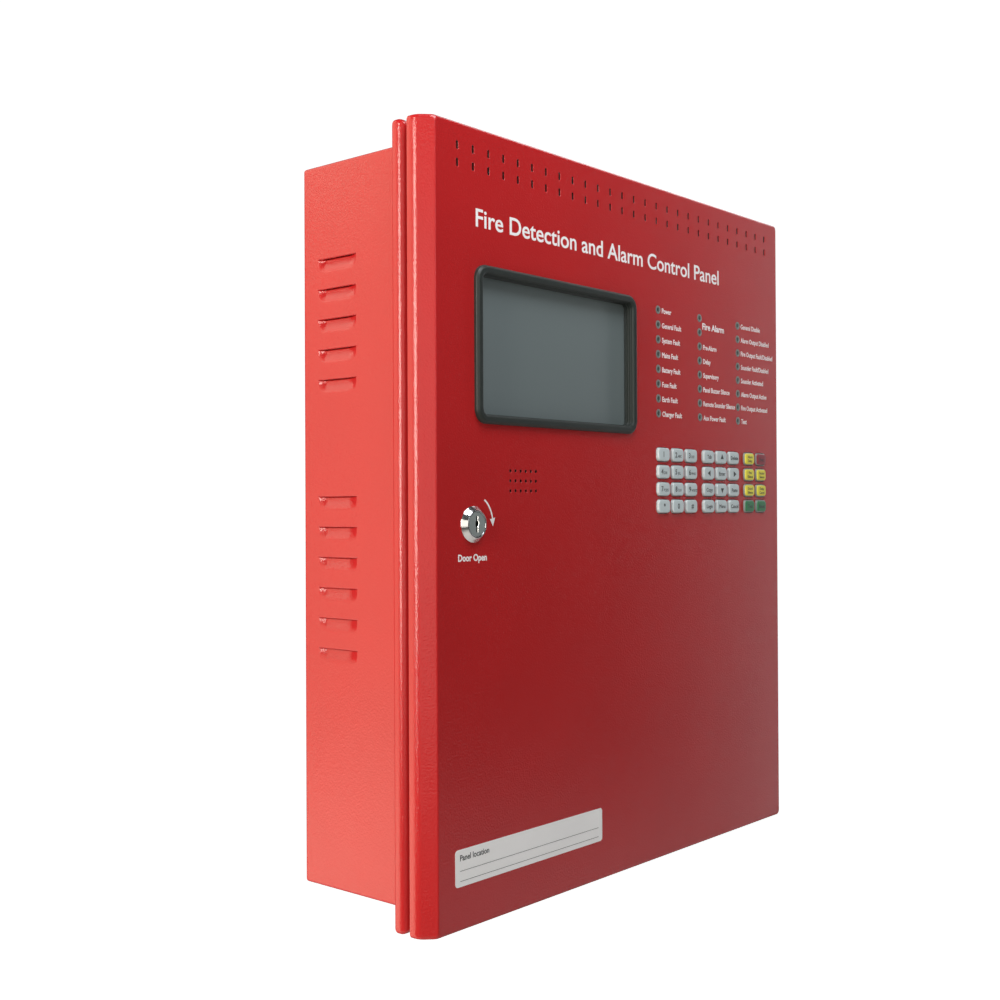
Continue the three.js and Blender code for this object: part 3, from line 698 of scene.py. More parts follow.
class Palette:
    """Every finish of the panel, each made once."""

    def __init__(self) -> None:
        """Makes the materials."""
        # The numbers of a row are roughness, metal, grain, relief, tone and coat.
        finishes = {
            "red": PowderCoat(), "board": Board(), "screen": Screen(), "ribbon": Ribbon(),
            "zinc": Finish("zinc plate", (0.56, 0.57, 0.58), 0.34, 1, 0.5, 0.006, 0.14),
            "chrome": Finish("bright chrome", (0.78, 0.79, 0.8), 0.15, 1, 1.2, 0.002, 0.04),
            "satin": Finish(
                "satin nickel", (0.32, 0.36, 0.355), 0.42, 0.4, 0.35, 0.004, 0.08, brushed=(1, 1, 6)
            ),
            "steel": Finish("plain steel", (0.5, 0.5, 0.5), 0.3, 1, 0.3, 0.004, 0.1, brushed=(5, 1, 1)),
            "aluminium": Finish(
                "aluminium", (0.62, 0.63, 0.64), 0.4, 1, 0.4, 0.006, 0.08, brushed=(1, 1, 8)
            ),
            "copper": Finish("tinned copper", (0.62, 0.5, 0.36), 0.3, 1, 0.5, 0.004, 0.1),
            "surround": Finish(
                "surround rubber", (0.009, 0.0145, 0.0125), 0.5, 0, 0.5, 0.012, 0.2, sheen=0.04
            ),
            "rubber": Finish("black rubber", (0.018, 0.018, 0.019), 0.62, 0, 0.4, 0.01, 0.15, sheen=0.2),
            "key_grey": Finish("grey key", (0.56, 0.64, 0.66), 0.36, 0, 0.5, 0.006, 0.05, 0.1),
            "key_side": Finish("clear key side", (0.33, 0.36, 0.36), 0.3, 0, 0.5, 0.006, 0.08, 0.2),
            "key_yellow": Finish("yellow key", (0.8, 0.72, 0.06), 0.4, 0, 0.5, 0.005, 0.05, 0.1),
            "key_red": Finish("red key", (0.27, 0.03, 0.045), 0.4, 0, 0.5, 0.005, 0.05, 0.1),
            "key_green": Finish("green key", (0.035, 0.2, 0.085), 0.4, 0, 0.5, 0.005, 0.05, 0.1),
            "legend": Finish("dark legend", (0.03, 0.033, 0.035), 0.5, 0, 0.3, 0.003, 0.1),
            "ink": Finish("white print", (0.9, 0.88, 0.89), 0.45, 0, 0.35, 0.006, 0.05),
            "lamp_ring": Finish("lamp ring", (0.2, 0.22, 0.21), 0.3, 0, 0.4, 0.004, 0.08, 0.3),
            "lamp": Finish("lamp centre", (0.03, 0.055, 0.045), 0.2, 0, 0.4, 0.003, 0.1, 0.5),
            "black": Finish("black plastic", (0.022, 0.023, 0.025), 0.42, 0, 0.5, 0.01, 0.12),
            "case": Finish("battery case", (0.03, 0.031, 0.034), 0.5, 0, 0.7, 0.02, 0.12),
            "terminal": Finish("green terminal", (0.03, 0.26, 0.09), 0.4, 0, 0.5, 0.006, 0.06),
            "blue": Finish("blue relay", (0.03, 0.1, 0.34), 0.35, 0, 0.5, 0.006, 0.06),
            "white": Finish("white nylon", (0.7, 0.69, 0.64), 0.45, 0, 0.5, 0.006, 0.05),
            "label": Finish("paper label", (0.93, 0.93, 0.94), 0.6, 0, 0.6, 0.008, 0.04),
            "red_cap": Finish("red plastic", (0.5, 0.02, 0.02), 0.4, 0, 0.5, 0.006, 0.06),
        }
        self.made = {key: finish.build() for key, finish in finishes.items()}

    def get(self, *names: str) -> list[bpy.types.Material]:
        """Materials by name, in order."""
        return [self.made[name] for name in names]


# ---- lettering ------------------------------------------------------------------------------------


class Align(Enum):
    """Where a line of letters starts from its place."""

    LEFT = 0.0
    CENTRE = 0.5


class Letters:
    """Letters of the built-in type as flat bodies."""

    thick = 0.12

    def __init__(self) -> None:
        """Measures the height of a capital."""
        points, _ = self.outline("H")
        self.cap = float(np.ptp(points[:, 1]))

    def outline(self, text: str, bold: float = 0, smooth: int = 3) -> tuple[Array, list[list[int]]]:
        """Points (N, 3) and faces of a line of letters one unit of size high, fattened by bold."""
        curve = bpy.data.curves.new("letters", "FONT")
        curve.body = text
        curve.size = 1
        curve.extrude = 0.5
        curve.bevel_depth = bold
        curve.bevel_resolution = 0
        curve.resolution_u = smooth
        holder = bpy.data.objects.new("letters", curve)
        bpy.context.scene.collection.objects.link(holder)
        mesh = bpy.data.meshes.new_from_object(holder.evaluated_get(bpy.context.evaluated_depsgraph_get()))
        flat = np.zeros(len(mesh.vertices) * 3)
        mesh.vertices.foreach_get("co", flat)
        faces = [list(p.vertices) for p in mesh.polygons]
        bpy.data.objects.remove(holder)
        bpy.data.meshes.remove(mesh)
        bpy.data.curves.remove(curve)
        return flat.reshape(-1, 3), faces

    def write(
        self, shell: Shell, text: str, place: Sequence[float], cap: float, depth: float,
        width: float = 0, align: Align = Align.LEFT, slot: int = 0, bold: float = 0.012,
        squeeze: float = 1, smooth: int = 3,
    ) -> None:
        """Writes a line on a plane that faces -Y.

        Args:
            shell: where the letters go.
            text: the line.
            place: x and z of the baseline at its start or middle.
            cap: height of a capital in millimetres.
            depth: y of the surface that the letters lie on.
            width: the whole line's width, 0 for the type's own.
            align: what place means along the line.
            slot: the finish by number.
            bold: growth of the letters' outline, as a share of the type's size.
            squeeze: width of the letters as a share of the type's own, used where width is 0.
            smooth: segments in each curve of a letter.
        """
        points, faces = self.outline(text, bold, smooth)
        scale = cap / self.cap
        left, span = points[:, 0].min(), np.ptp(points[:, 0])
        across = (width / span) if width else scale * squeeze
        x = (points[:, 0] - left - align.value * span) * across + place[0]
        z = points[:, 1] * scale + place[1]
        deep = points[:, 2] - points[:, 2].min()
        y = depth - self.thick * deep / deep.max()
        shell.add(np.stack([x, y, z], 1), faces, slot)


# ---- fasteners ------------------------------------------------------------------------------------


def screw_head(radius: float, height: float, slot: int = 0) -> Shell:
    """A pan-head screw with a sunk cross, its top at y = -height, about the origin.

    The head is a turned profile that rises in a quarter circle to a flat rim. The cross is one
    arm's corners turned by right angles, cut through the flat top and drawn down to a floor.
    """
    made = Shell()
    rim, segments = radius * 0.64, 20
    dome = fillet([(rim, -height), (radius, -height), (radius, 0.2), (0, 0.2)], (radius * 0.3, 0), 4)
    made.lathe(dome, segments=segments, slot=slot)
    arm, half = radius * 0.5, radius * 0.1
    corners = np.array([(arm, -half), (arm, half), (half, half)])
    quarter = np.array([(0, 1), (-1, 0)])
    cross = np.concatenate([corners @ np.linalg.matrix_power(quarter, i) for i in range(4)])
    ring = arc((0, 0), rim, 0, 360, segments + 1)[:-1]
    made.sheet([ring, cross], -height, slot=slot)
    walls = Axis.Y.place(np.stack([cross, cross * 0.8]), np.array([[-height], [-height * 0.35]]))
    made.grid(walls, slot=slot)
    made.cap(walls[-1], slot)
    return made


# ---- cabinet --------------------------------------------------------------------------------------


@dataclass
class Cabinet:
    """The back box with its louvres, the front frame, the grommets and the hinges."""

    palette: Palette
    sheet: float = 1.5
    frame_face: float = 24
    frame_step: float = 13
    frame_round: float = 6
    frame_corner: float = 3.4
    box_corner: float = 2.0
    louvre_length: float = 35
    louvre_height: float = 9
    louvre_deep: float = 2.5
    louvre_ends: tuple = (10, 5.2)
    louvre_draw: float = 3.2
    louvre_margin: float = 1.0
    louvre_back: float = -14.5
    louvre_pitch: float = 19.15
    louvre_rows: tuple = ((168.3, 5), (17.75, 6))
    keyhole: tuple = (178, 209)
    box_top: float = 228.5
    hinge_y: float = -102.8
    knuckle: float = 2.3

    def louvre(self, top: float) -> tuple[Array, Array]:
        """One louvre of the left wall, pressed inwards.

        Across the louvre the depth rises from the front end as a sine and from the rear end as a
        straight ramp. Up the louvre it rises as the cubic 3 v^2 - 2 v^3 to its full depth just
        below the open slit. The lower corners draw in on a circle.

        Args:
            top: height of the slit.

        Returns:
            The surface (U, V, 3), and the outline (N, 2) in y and z that it fills.
        """
        v = np.linspace(0, 1, 13)[:, None]
        u = (1 - np.cos(np.linspace(0, 1, 37) * math.pi))[None] / 2
        draw = self.louvre_draw * (1 - np.sqrt(1 - (1 - v) ** 2))
        half = self.louvre_length / 2
        y = self.louvre_back - half + (half - draw) * (2 * u - 1)
        z = top - self.louvre_height * (1 - v) + 0 * u
        front_end, rear_end = self.louvre_ends
        front = np.minimum(u * self.louvre_length / front_end, 1)
        rear = np.minimum((1 - u) * self.louvre_length / rear_end, 1)
        rise = np.minimum(v / 0.94, 1)
        deep = self.louvre_deep * np.sin(front * math.pi / 2) * rear * (3 * rise**2 - 2 * rise**3)
        low, _ = node_box("back_box")
        points = np.stack([low[0] + deep, y + 0 * deep, z], -1)
        flat = points[..., 1:]
        outline = np.concatenate([flat[::-1, 0], flat[0, 1:], flat[1:, -1]])
        return points, outline

    def back_box(self) -> None:
        """The box's skin: walls drawn back from the frame, rounded into the back, with the louvres.

        The walls are outlines at depths that round into the back on a quarter circle. The left and
        right walls are flat sheets with a hole for each louvre, and a flat margin 1 mm wide, the hole's
        outline stretched about its middle, joins each louvre to its sheet.
        """
        low, high = node_box("back_box")
        front = low[1] - 0.35
        turn = np.linspace(0, math.pi / 2, 6)
        depth = np.concatenate([[front], high[1] - self.box_corner * (1 - np.sin(turn))])
        inset = np.concatenate([[0], self.box_corner * (1 - np.cos(turn))])
        corner = np.maximum(self.box_corner - inset, 0.3)
        steps = 5
        flat = rounded(high[0] - inset, high[2] - inset, corner, steps)
        shell = Shell()
        rings = Axis.Y.place(flat, depth[:, None])
        left, right = 2 * (steps + 1) - 1, 4 * (steps + 1) - 1
        straight = rings[:2]
        shell.grid(straight, skip=(left, right))
        shell.grid(rings[1:])
        key_x, key_z = self.keyhole
        holes = []
        for x in (-key_x, key_x):
            for z in (-key_z, key_z):
                head = arc((x, z), 4.5, 120, 420, 20)
                slot_top = arc((x, z + 9), 2.25, 0, 180, 8)
                holes.append(np.concatenate([head, slot_top]))
        shell.sheet([flat[-1], *holes], depth[-1])
        wall_z = high[2] - self.box_corner
        frame = np.array([[front, -wall_z], [depth[1], -wall_z], [depth[1], wall_z], [front, wall_z]])
        tops = [top - i * self.louvre_pitch for top, count in self.louvre_rows for i in range(count)]
        made = [self.louvre(top) for top in tops]
        for side in (-1, 1):
            margins = []
            for points, outline in made:
                middle = (outline.min(axis=0) + outline.max(axis=0)) / 2
                half = np.ptp(outline, axis=0) / 2
                margins.append(middle + (outline - middle) * (1 + self.louvre_margin / half))
                shell.grid(Axis.X.place(np.stack([margins[-1], outline]), side * high[0]))
                shell.grid(points * (-side, 1, 1), wrap_v=False)
            shell.sheet([frame, *margins], side * high[0], Axis.X)
        piece = shell.build("back_box_shell", self.palette.get("red"), wall=self.sheet)
        fit(piece, "cabinet", "red_paint", "back_box")

    def front_frame(self) -> None:
        """The frame: a channel section carried round the box's mouth."""
        low, high = node_box("front_frame")
        front, back = low[1], high[1] + 0.02
        face, step, t = self.frame_face, self.frame_step, self.sheet
        section = [
            (step, back), (0, back), (0, front), (face, front), (face, front + t), (t, front + t),
            (t, back - t), (step, back - t), (step, back),
        ]
        profile = fillet(section, (1.6, self.frame_round, 0.5, 0.5, 4.6, 0.6, 0.2), 8)[:-1]
        corner = np.maximum(self.frame_corner - profile[:, 0], 0.6)
        flat = rounded(high[0] - profile[:, 0], high[2] - profile[:, 0], corner, 6)
        shell = Shell()
        shell.grid(Axis.Y.place(flat, profile[:, 1:]), wrap_u=True)
        piece = shell.build("front_frame_channel", self.palette.get("red"))
        fit(piece, "cabinet", "red_paint", "front_frame")

    def grommets(self) -> None:
        """Rubber grommets of the cable entries: a turned section with a thin web across."""
        for node in ("cable_grommet_left", "cable_grommet_right"):
            low, high = node_box(node)
            x, y = (low[0] + high[0]) / 2, (low[1] + high[1]) / 2
            outer = (high[0] - low[0]) / 2
            top, bottom = high[2], low[2]
            wall = self.box_top
            section = [
                (0, wall + 0.5), (outer - 5, wall + 0.5), (outer - 3.8, wall + 1.2), (outer - 3.2, top),
                (outer - 0.6, top - 0.4), (outer, wall + 0.05), (10.7, wall + 0.05),
                (10.7, wall - 1.55), (outer - 0.6, wall - 1.55), (outer - 1.6, bottom),
                (outer - 4.4, bottom), (outer - 4.4, wall - 0.5), (0, wall - 0.5),
            ]
            radii = (0.6, 0.6, 1.0, 1.4, 0.2, 0.2, 0.2, 0.6, 0.6, 0.4, 0.4)
            shell = Shell()
            shell.lathe(fillet(section, radii, 3), (x, y), Axis.Z, 40)
            fit(shell.build(node + "_ring", self.palette.get("rubber")), "cabinet", "black_rubber", node)

    def hinges(self) -> None:
        """The hinges' leaves: rolled knuckles, flat leaves and two rivets each."""
        for place in ("upper", "lower"):
            for side, body in (("frame", "cabinet"), ("door", "door")):
                node = f"hinge_{side}_leaf_{place}"
                low, high = node_box(node)
                x, y = high[0] - self.knuckle, self.hinge_y
                shell = Shell()
                top = high[2] if side == "door" else low[2] + 19.8
                bottom = low[2]
                shell.lathe(drum(self.knuckle, bottom, top, (0.3, 0.3)), (x, y), Axis.Z, 28)
                if side == "frame":
                    shell.lathe(drum(1.2, top - 1, high[2], (0, 0.5)), (x, y), Axis.Z, 20)
                edges = (low[1], y) if side == "door" else (y, high[1])
                leaf = (low[0] + self.sheet, edges[1], top)
                shell.slab((low[0], edges[0], bottom), leaf, 0.3, 0.6, Axis.X)
                rivet = Shell().lathe(drum(1.5, 1.1, 0, (0.8, 0), 4), (0, 0), Axis.X, 18)
                middle = (low[1] + 2.8) if side == "door" else (high[1] - 3.2)
                places = [(low[0] + 1.4, middle, bottom + 4.5), (low[0] + 1.4, middle, top - 4.5)]
                shell.repeat(rivet, np.array(places))
                fit(shell.build(node + "_steel", self.palette.get("zinc")), body, "zinc_steel", node)

    def build(self) -> None:
        """Builds every piece of the cabinet."""
        self.back_box()
        self.front_frame()
        self.grommets()
        self.hinges()


# ---- door -----------------------------------------------------------------------------------------


@dataclass
class Punch:
    """One size of hole in the door and every place that it is punched."""

    places: Array
    half_x: float
    half_z: float
    corner: float
    steps: int = 3
    edge: float = 0.3
    # finish slot of each hole's deeper wall; a dark finish there is painted shade
    inner: int = 0

    def outlines(self, grow: float) -> list[Array]:
        """The hole's outline at each place, grown by a distance."""
        base = rounded(self.half_x + grow, self.half_z + grow, self.corner + grow, self.steps)[0]
        return [base + place for place in self.places]

    def walls(self, shell: Shell, front: float, back: float) -> None:
        """Adds each hole's wall, its front edge rounded on a quarter circle.

        The wall behind the rounded edge takes the finish numbered inner. A dark finish there is painted
        shade deep in the hole.
        """
        turn = np.linspace(0, math.pi / 2, 4)
        grow = np.append(self.edge * (1 - np.sin(turn)), 0)
        depth = np.append(front + self.edge * (1 - np.cos(turn)), back)
        flat = rounded(self.half_x + grow, self.half_z + grow, self.corner + grow, self.steps)
        rings = Axis.Y.place(flat, depth[:, None])
        wall = Shell()
        wall.grid(rings[:-1])
        wall.grid(rings[-2:], slot=self.inner)
        shell.repeat(wall, np.insert(self.places, 1, 0, axis=1))


@dataclass
class Door:
    """The door's pan and what is fixed to its front: surround, screen, lamps, keys and lettering."""

    palette: Palette
    letters: Letters
    key_nodes: list[str]
    sheet: float = 1.5
    bevel: float = 9
    round: float = 2.5
    key_half: tuple = (7.6, 5.0)
    key_corner: float = 2.9
    lip: float = 6.3
    lock_hole: float = 9.3
    vent_pitch: float = 14
    vent_rows: tuple = (225.7, 215.3)
    grille_pitch: float = 5
    grille_rows: tuple = (6.2, 0, -6.2)

    def __post_init__(self) -> None:
        """Takes the door's planes and the places of what it carries from the frame."""
        self.low, self.high = node_box("door")
        self.front = self.low[1]
        lamps_low, lamps_high = node_box("indicator_lens_bar")
        lamp_x = np.linspace(lamps_low[0] + 5, lamps_high[0] - 5, 3)
        lamp_z = np.linspace(lamps_high[2] - 5, lamps_low[2] + 5, 8)
        self.lamps = np.array([(x, z) for x in lamp_x for z in lamp_z])
        gasket_low, gasket_high = node_box("display_gasket")
        self.screen_low, self.screen_high = gasket_low + self.lip, gasket_high - self.lip
        lock_low, lock_high = node_box("lock_body")
        self.lock = (lock_low + lock_high) / 2
        self.keys = {node: sum(node_box(node)) / 2 for node in self.key_nodes}

    def punches(self) -> list[Punch]:
        """Every hole in the door."""
        vents = grid_places((np.arange(27) - 13) * self.vent_pitch, self.vent_rows)
        sounder_low, sounder_high = node_box("sounder")
        middle = (sounder_low + sounder_high) / 2
        columns = middle[0] + (np.arange(6) - 2.5) * self.grille_pitch
        grille = grid_places(columns, middle[2] + np.array(self.grille_rows))
        keys = np.array([(place[0], place[2]) for place in self.keys.values()])
        centre = (self.screen_low + self.screen_high) / 2
        half = (self.screen_high - self.screen_low) / 2 + 2.5  # the surround covers this edge
        return [
            # inner=1 gives these holes' deeper walls the black finish, as painted shade inside the holes
            Punch(vents, 0.95, 2.5, 0.95, steps=4, edge=0.45, inner=1),
            Punch(grille, 1, 1, 1, steps=4, inner=1),
            Punch(self.lamps, 3.1, 3.1, 3.1, steps=5, edge=0.15, inner=1),
            Punch(keys, *(size + 0.2 for size in self.key_half), 3.1, steps=4, edge=0.15, inner=1),
            Punch(centre[None, ::2], half[0], half[2], 5, steps=5),
            Punch(self.lock[None, ::2], *[self.lock_hole] * 3, steps=10),
        ]

    def pan(self) -> None:
        """The door: rounded outlines lofted through depth, with two flat sheets and the holes.

        At each depth the outline's half width follows the bevelled side's section and its half
        height follows the rounded top's section.
        """
        front, back, t = self.front, self.high[1], self.sheet
        half_x, half_z = self.high[0], self.high[2]

        def sections(inset: float, depths: Array) -> tuple[Array, Array]:
            """Half widths and half heights at some depths, of the pan drawn in by inset."""
            start = front + inset
            shift = inset * math.tan(math.pi / 8)
            knee = half_x - self.bevel - shift
            side = fillet(
                [(knee - 20, start), (knee, start), (half_x - inset, front + self.bevel + shift),
                 (half_x - inset, back)],
                (1.7 - inset * 0.8, 8 - inset), 12,
            )[1:]
            top = fillet(
                [(half_z - 20, start), (half_z - inset, start), (half_z - inset, back)],
                (self.round - inset * 0.9,), 10,
            )[1:]
            return np.interp(depths, side[:, 1], side[:, 0]), np.interp(depths, top[:, 1], top[:, 0])

        near = np.array([0, 0.015, 0.06, 0.14, 0.26, 0.45, 0.7, 1.0, 1.4, 1.9, 2.5])
        mid = np.concatenate([np.linspace(3.4, 5.8, 3), np.linspace(6.6, 12.4, 14)])
        outer = np.concatenate([front + near, front + mid, [back - 0.25, back - 0.07, back]])
        inner = np.concatenate([[back], front + mid[::-1], front + near[:5:-1], front + t + near[4::-1]])
        out_x, out_z = sections(0, outer)
        lip = np.array([0.0] * (len(outer) - 3) + [0, 0.07, 0.3])
        in_x, in_z = sections(t, np.maximum(inner, front + t))
        in_x[0] += 0.3
        in_z[0] += 0.3
        depth = np.concatenate([outer, inner])
        flat = rounded(
            np.concatenate([out_x - lip, in_x]), np.concatenate([out_z - lip, in_z]),
            np.concatenate([np.full(len(outer), 2.6), np.full(len(inner), 1.4)]), 6,
        )
        shell = Shell()
        shell.grid(Axis.Y.place(flat, depth[:, None]))
        punches = self.punches()
        shell.sheet([flat[0], *(o for p in punches for o in p.outlines(p.edge))], front)
        shell.sheet([flat[-1], *(o for p in punches for o in p.outlines(0))], depth[-1])
        for punch in punches:
            punch.walls(shell, front, depth[-1])
        # the second finish, black plastic, is painted shade on the deeper walls of the holes
        fit(shell.build("door_pan", self.palette.get("red", "black")), "door", "red_paint", "door")

    def surround(self) -> None:
        """The rubber surround: a rounded lip, two fine ribs down its inner wall, and a rear flange.

        The section is carried round the screen. Its first number is the distance in from the lip's
        outer edge.
        """
        low, high = node_box("display_gasket")
        front, back = low[1], high[1]
        lip, door = self.lip, self.front
        section = [
            (0, door + 0.01), (0, front + 1.6), (1.6, front), (4.2, front), (5.3, front + 1.0),
            (5.3, front + 2.6), (5.7, front + 3.0), (5.35, front + 3.4), (5.35, front + 4.6),
            (5.8, front + 5.0), (5.45, front + 5.4), (5.45, front + 6.6), (lip, front + 7.0),
            (lip, back), (1.6, back),
            (1.6, door + 1.55), (3.9, door + 1.55), (3.9, door + 0.01), (0, door + 0.01),
        ]
        radii = (1.2, 1.5, 1.6, 0.9, 0.2, 0.3, 0.2, 0.2, 0.3, 0.2, 0.2, 0.2, 0.5, 0.5, 0.2, 0.2, 0.2)
        profile = fillet(section, radii, 4)[:-1]
        corner = np.maximum(9.0 - profile[:, 0] * 0.85, 2.6)
        centre = (low + high) / 2
        half = (high - low) / 2
        flat = rounded(half[0] - profile[:, 0], half[2] - profile[:, 0], corner, 9)
        shell = Shell()
        shell.grid(Axis.Y.place(flat + (centre[0], centre[2]), profile[:, 1:]), wrap_u=True)
        piece = shell.build("display_surround", self.palette.get("surround"))
        fit(piece, "door", "surround_rubber", "display_gasket")

    def display(self) -> None:
        """The screen: its glass, the metal frame behind and the small board on the frame's back."""
        low, high = node_box("display_module")
        shell = Shell()
        shell.slab(low, (high[0], low[1] + 1.4, high[2]), 0.25, 1.0, slot=0)
        shell.slab(low + (2, 1.45, 2), (high[0] - 2, low[1] + 7, high[2] - 2), 0.5, 1.5, slot=1)
        shell.slab(
            (low[0] + 25, low[1] + 7.02, low[2] + 17), (high[0] - 25, low[1] + 8.4, high[2] - 17),
            0.1, 0.5, slot=2,
        )
        chips = Shell().slab((0, 0, 0), (9, 1.0, 9), 0.1, 0.3, slot=3)
        places = [(low[0] + 34 + 17 * i, low[1] + 8.4, low[2] + 26 + 19 * (i % 2)) for i in range(6)]
        shell.repeat(chips, np.array(places))
        finishes = self.palette.get("screen", "zinc", "board", "black")
        fit(shell.build("display_screen", finishes), "door", "screen", "display_module")

    def lens_bar(self) -> None:
        """The light pipes: each a turned ring with a sunk dark lens, on one backing."""
        low, high = node_box("indicator_lens_bar")
        front = self.front
        pipe = Shell()
        ring = [(1.75, front + 0.35), (1.75, front - 0.12), (2.15, front - 0.2), (2.9, front - 0.12),
                (2.9, high[1] - 0.9), (1.75, high[1] - 0.9), (1.75, front + 0.35)]
        pipe.lathe(fillet(ring, (0.1, 0.15, 0.12, 0, 0), 3)[:-1], segments=28, slot=0, closed=True)
        lens = [(0, front - 0.02), (0.9, front + 0.03), (1.74, front + 0.3), (1.74, high[1] - 1.0),
                (0, high[1] - 1.0)]
        pipe.lathe(fillet(lens, (1.2, 0.1, 0), 3), segments=28, slot=1)
        shell = Shell()
        shell.repeat(pipe, np.insert(self.lamps, 1, 0, axis=1))
        shell.slab((low[0], high[1] - 1.2, low[2]), high, 0.3, 2, slot=0)
        finishes = self.palette.get("lamp_ring", "lamp")
        fit(shell.build("indicator_lenses", finishes), "door", "lens_grey", "indicator_lens_bar")

    def key(self, node: str, legend: tuple[str, str], tone: str) -> None:
        """One key: a cap with leaning sides and a pillowed top, its flange, plunger and legend.

        The cap is a rounded outline carried through depth. Its sides lean in, its top edge is a
        quarter circle and its top falls away from the middle as a parabola. A coloured key has a
        clear side that its coloured top is set into.

        Args:
            node: the key's node.
            legend: large and small letters on its top.
            tone: the finish of its top.
        """
        centre = self.keys[node]
        low, high = node_box(node)
        top = low[1]
        x, z = centre[0], centre[2]
        flange = self.front + self.sheet + 0.3
        plain = tone == "key_grey"
        fall, edge, lean = 0.12, 0.85, 0.3
        turn = np.linspace(0, math.pi / 2, 6)
        crown = np.array([4.9, 3.9, 2.9, 2.0])
        shoulder = lean + (0 if plain else 0.5) + edge * (1 - np.sin(turn))
        inset = np.concatenate([crown, shoulder])
        depth = np.concatenate([top + fall * (1 - crown / 5) ** 2, top + fall + edge * (1 - np.cos(turn))])
        base_inset = [lean, 0.15, 0.0]
        base_depth = [top + fall + edge + 0.05, self.front, flange]
        if not plain:
            base_inset = [lean + 0.3, lean + 0.06, *base_inset]
            base_depth = [top + fall + edge + 0.02, top + fall + edge + 0.12, top + fall + edge + 0.4,
                          *base_depth[1:]]
        split = len(inset) - 1
        inset = np.concatenate([inset, base_inset])
        depth = np.concatenate([depth, base_depth])
        half_x, half_z = self.key_half
        corner = np.maximum(self.key_corner - inset * 0.75, 0.1)
        flat = rounded(half_x - inset, half_z - inset, corner, 5) + (x, z)
        shell = Shell()
        rings = Axis.Y.place(flat, depth[:, None])
        shell.cap(rings[0], 0)
        shell.grid(rings[: split + 1], slot=0)
        shell.grid(rings[split:], slot=1)
        shell.cap(rings[-1], 1)
        shell.slab((x - 8.8, flange, z - 5.9), (x + 8.8, flange + 1.2, z + 5.9), 0.2, 1.2, slot=1)
        shell.slab((x - 3, flange + 1.19, z - 2), (x + 3, high[1], z + 2), 0.2, 0.5, slot=1)
        self.legend(shell, legend, x, z, top)
        finishes = self.palette.get(tone, tone if plain else "key_side", "legend")
        fit(shell.build(node + "_cap", finishes), node, tone, node)

    def legend(self, shell: Shell, words: tuple[str, str], x: float, z: float, top: float) -> None:
        """Prints one key: an arrow, a figure with small letters, one word or two lines.

        Args:
            shell: the key's shell.
            words: large and small letters.
            x: the key's middle across.
            z: its middle up.
            top: depth of its top.
        """
        big, small = words
        face = top + 0.1
        write = self.letters.write
        if big in ARROWS:
            head = arc((x, z), 2.6, ARROWS[big], ARROWS[big] + 240, 3)
            shell.prism(head, top - 0.03, face, slot=2)
        elif len(big) == 1:
            place = x - (4.4 if small else 1.4)
            write(shell, big, (place, z - 1.7), 3.6, face, slot=2, bold=0.025)
            if small:
                write(shell, small, (x - 1.2, z - 1.7), 1.9, face, slot=2, bold=0.02, squeeze=0.92)
        elif small:
            write(shell, big, (x, z + 0.5), 1.9, face, align=Align.CENTRE, slot=2, bold=0.02)
            write(shell, small, (x, z - 2.5), 1.9, face, align=Align.CENTRE, slot=2, bold=0.02)
        else:
            write(shell, big, (x, z - 1.4), 2.7, face, align=Align.CENTRE, slot=2, bold=0.025)

    def build_keys(self) -> None:
        """Every key, by its name."""
        for node in self.keys:
            name = node.removeprefix("key_")
            big, _, small = KEY_WORDS.get(name, name.capitalize()).partition(" ")
            colour = name.partition("_")[0]
            self.key(node, (big, small), f"key_{colour}" if colour in KEY_COLOURS else "key_grey")

    def lettering(self) -> None:
        """The printed words, the arrow round the lock and the write-on plate."""
        print_ = Shell()
        y = self.front + 0.07
        write = self.letters.write
        title = "Fire Detection and Alarm Control Panel"
        write(print_, title, (-166, 180), 10.6, y, 278, bold=0.012, smooth=7)
        for i, row in enumerate(LAMP_LABELS):
            for (x, z), word in zip(self.lamps[8 * i: 8 * i + 8], row):
                if word:
                    write(print_, word, (x + 4.7, z - 2.0), 3.5, y, squeeze=0.9, bold=0.022)
        x, z = self.lamps[8]
        write(print_, "Fire Alarm", (x + 3.8, z - 8), 4.6, y, 31, bold=0.03)
        x, z = self.lock[0], self.lock[2]
        write(print_, "Door Open", (x - 13.4, z - 21.9), 3.9, y, 25.6, bold=0.03)
        shaft = np.concatenate([arc((x, z), 18.5, 55, 10.5, 16), arc((x, z), 17.4, 10.5, 55, 16)])
        print_.prism(shaft, y - 0.12, y)
        tip = arc((x, z), 18, -4.5, -4.5, 1)[0]
        base = arc((x, z), 18, 11, 11, 1)[0]
        out = (base - (x, z)) / 18
        print_.prism(np.array([base - out * 2.4, tip, base + out * 2.4])[::-1], y - 0.12, y)
        piece = print_.build("door_print", self.palette.get("ink"))
        fit(piece, "door", "key_grey")
        plate = Shell()
        outline = rounded(72.6, 11, 2.2, 6)[0] + (-114, -202.5)
        plate.loft(np.stack([outline, outline]), np.array([self.front - 0.12, self.front]), slot=0)
        write(plate, "Panel location", (-182.5, -198.2), 3.4, self.front - 0.06, 26, slot=1)
        for height in (-204.2, -210.2):
            line = rounded(68.4, 0.14, 0.1, 1)[0] + (-114, height)
            plate.prism(line, self.front - 0.16, self.front - 0.1, slot=1)
        piece = plate.build("location_label", self.palette.get("label", "legend"))
        fit(piece, "door", "key_grey")

    def build(self) -> None:
        """Builds every piece of the door's front."""
        self.pan()
        self.surround()
        self.display()
        self.lens_bar()
        self.build_keys()
        self.lettering()


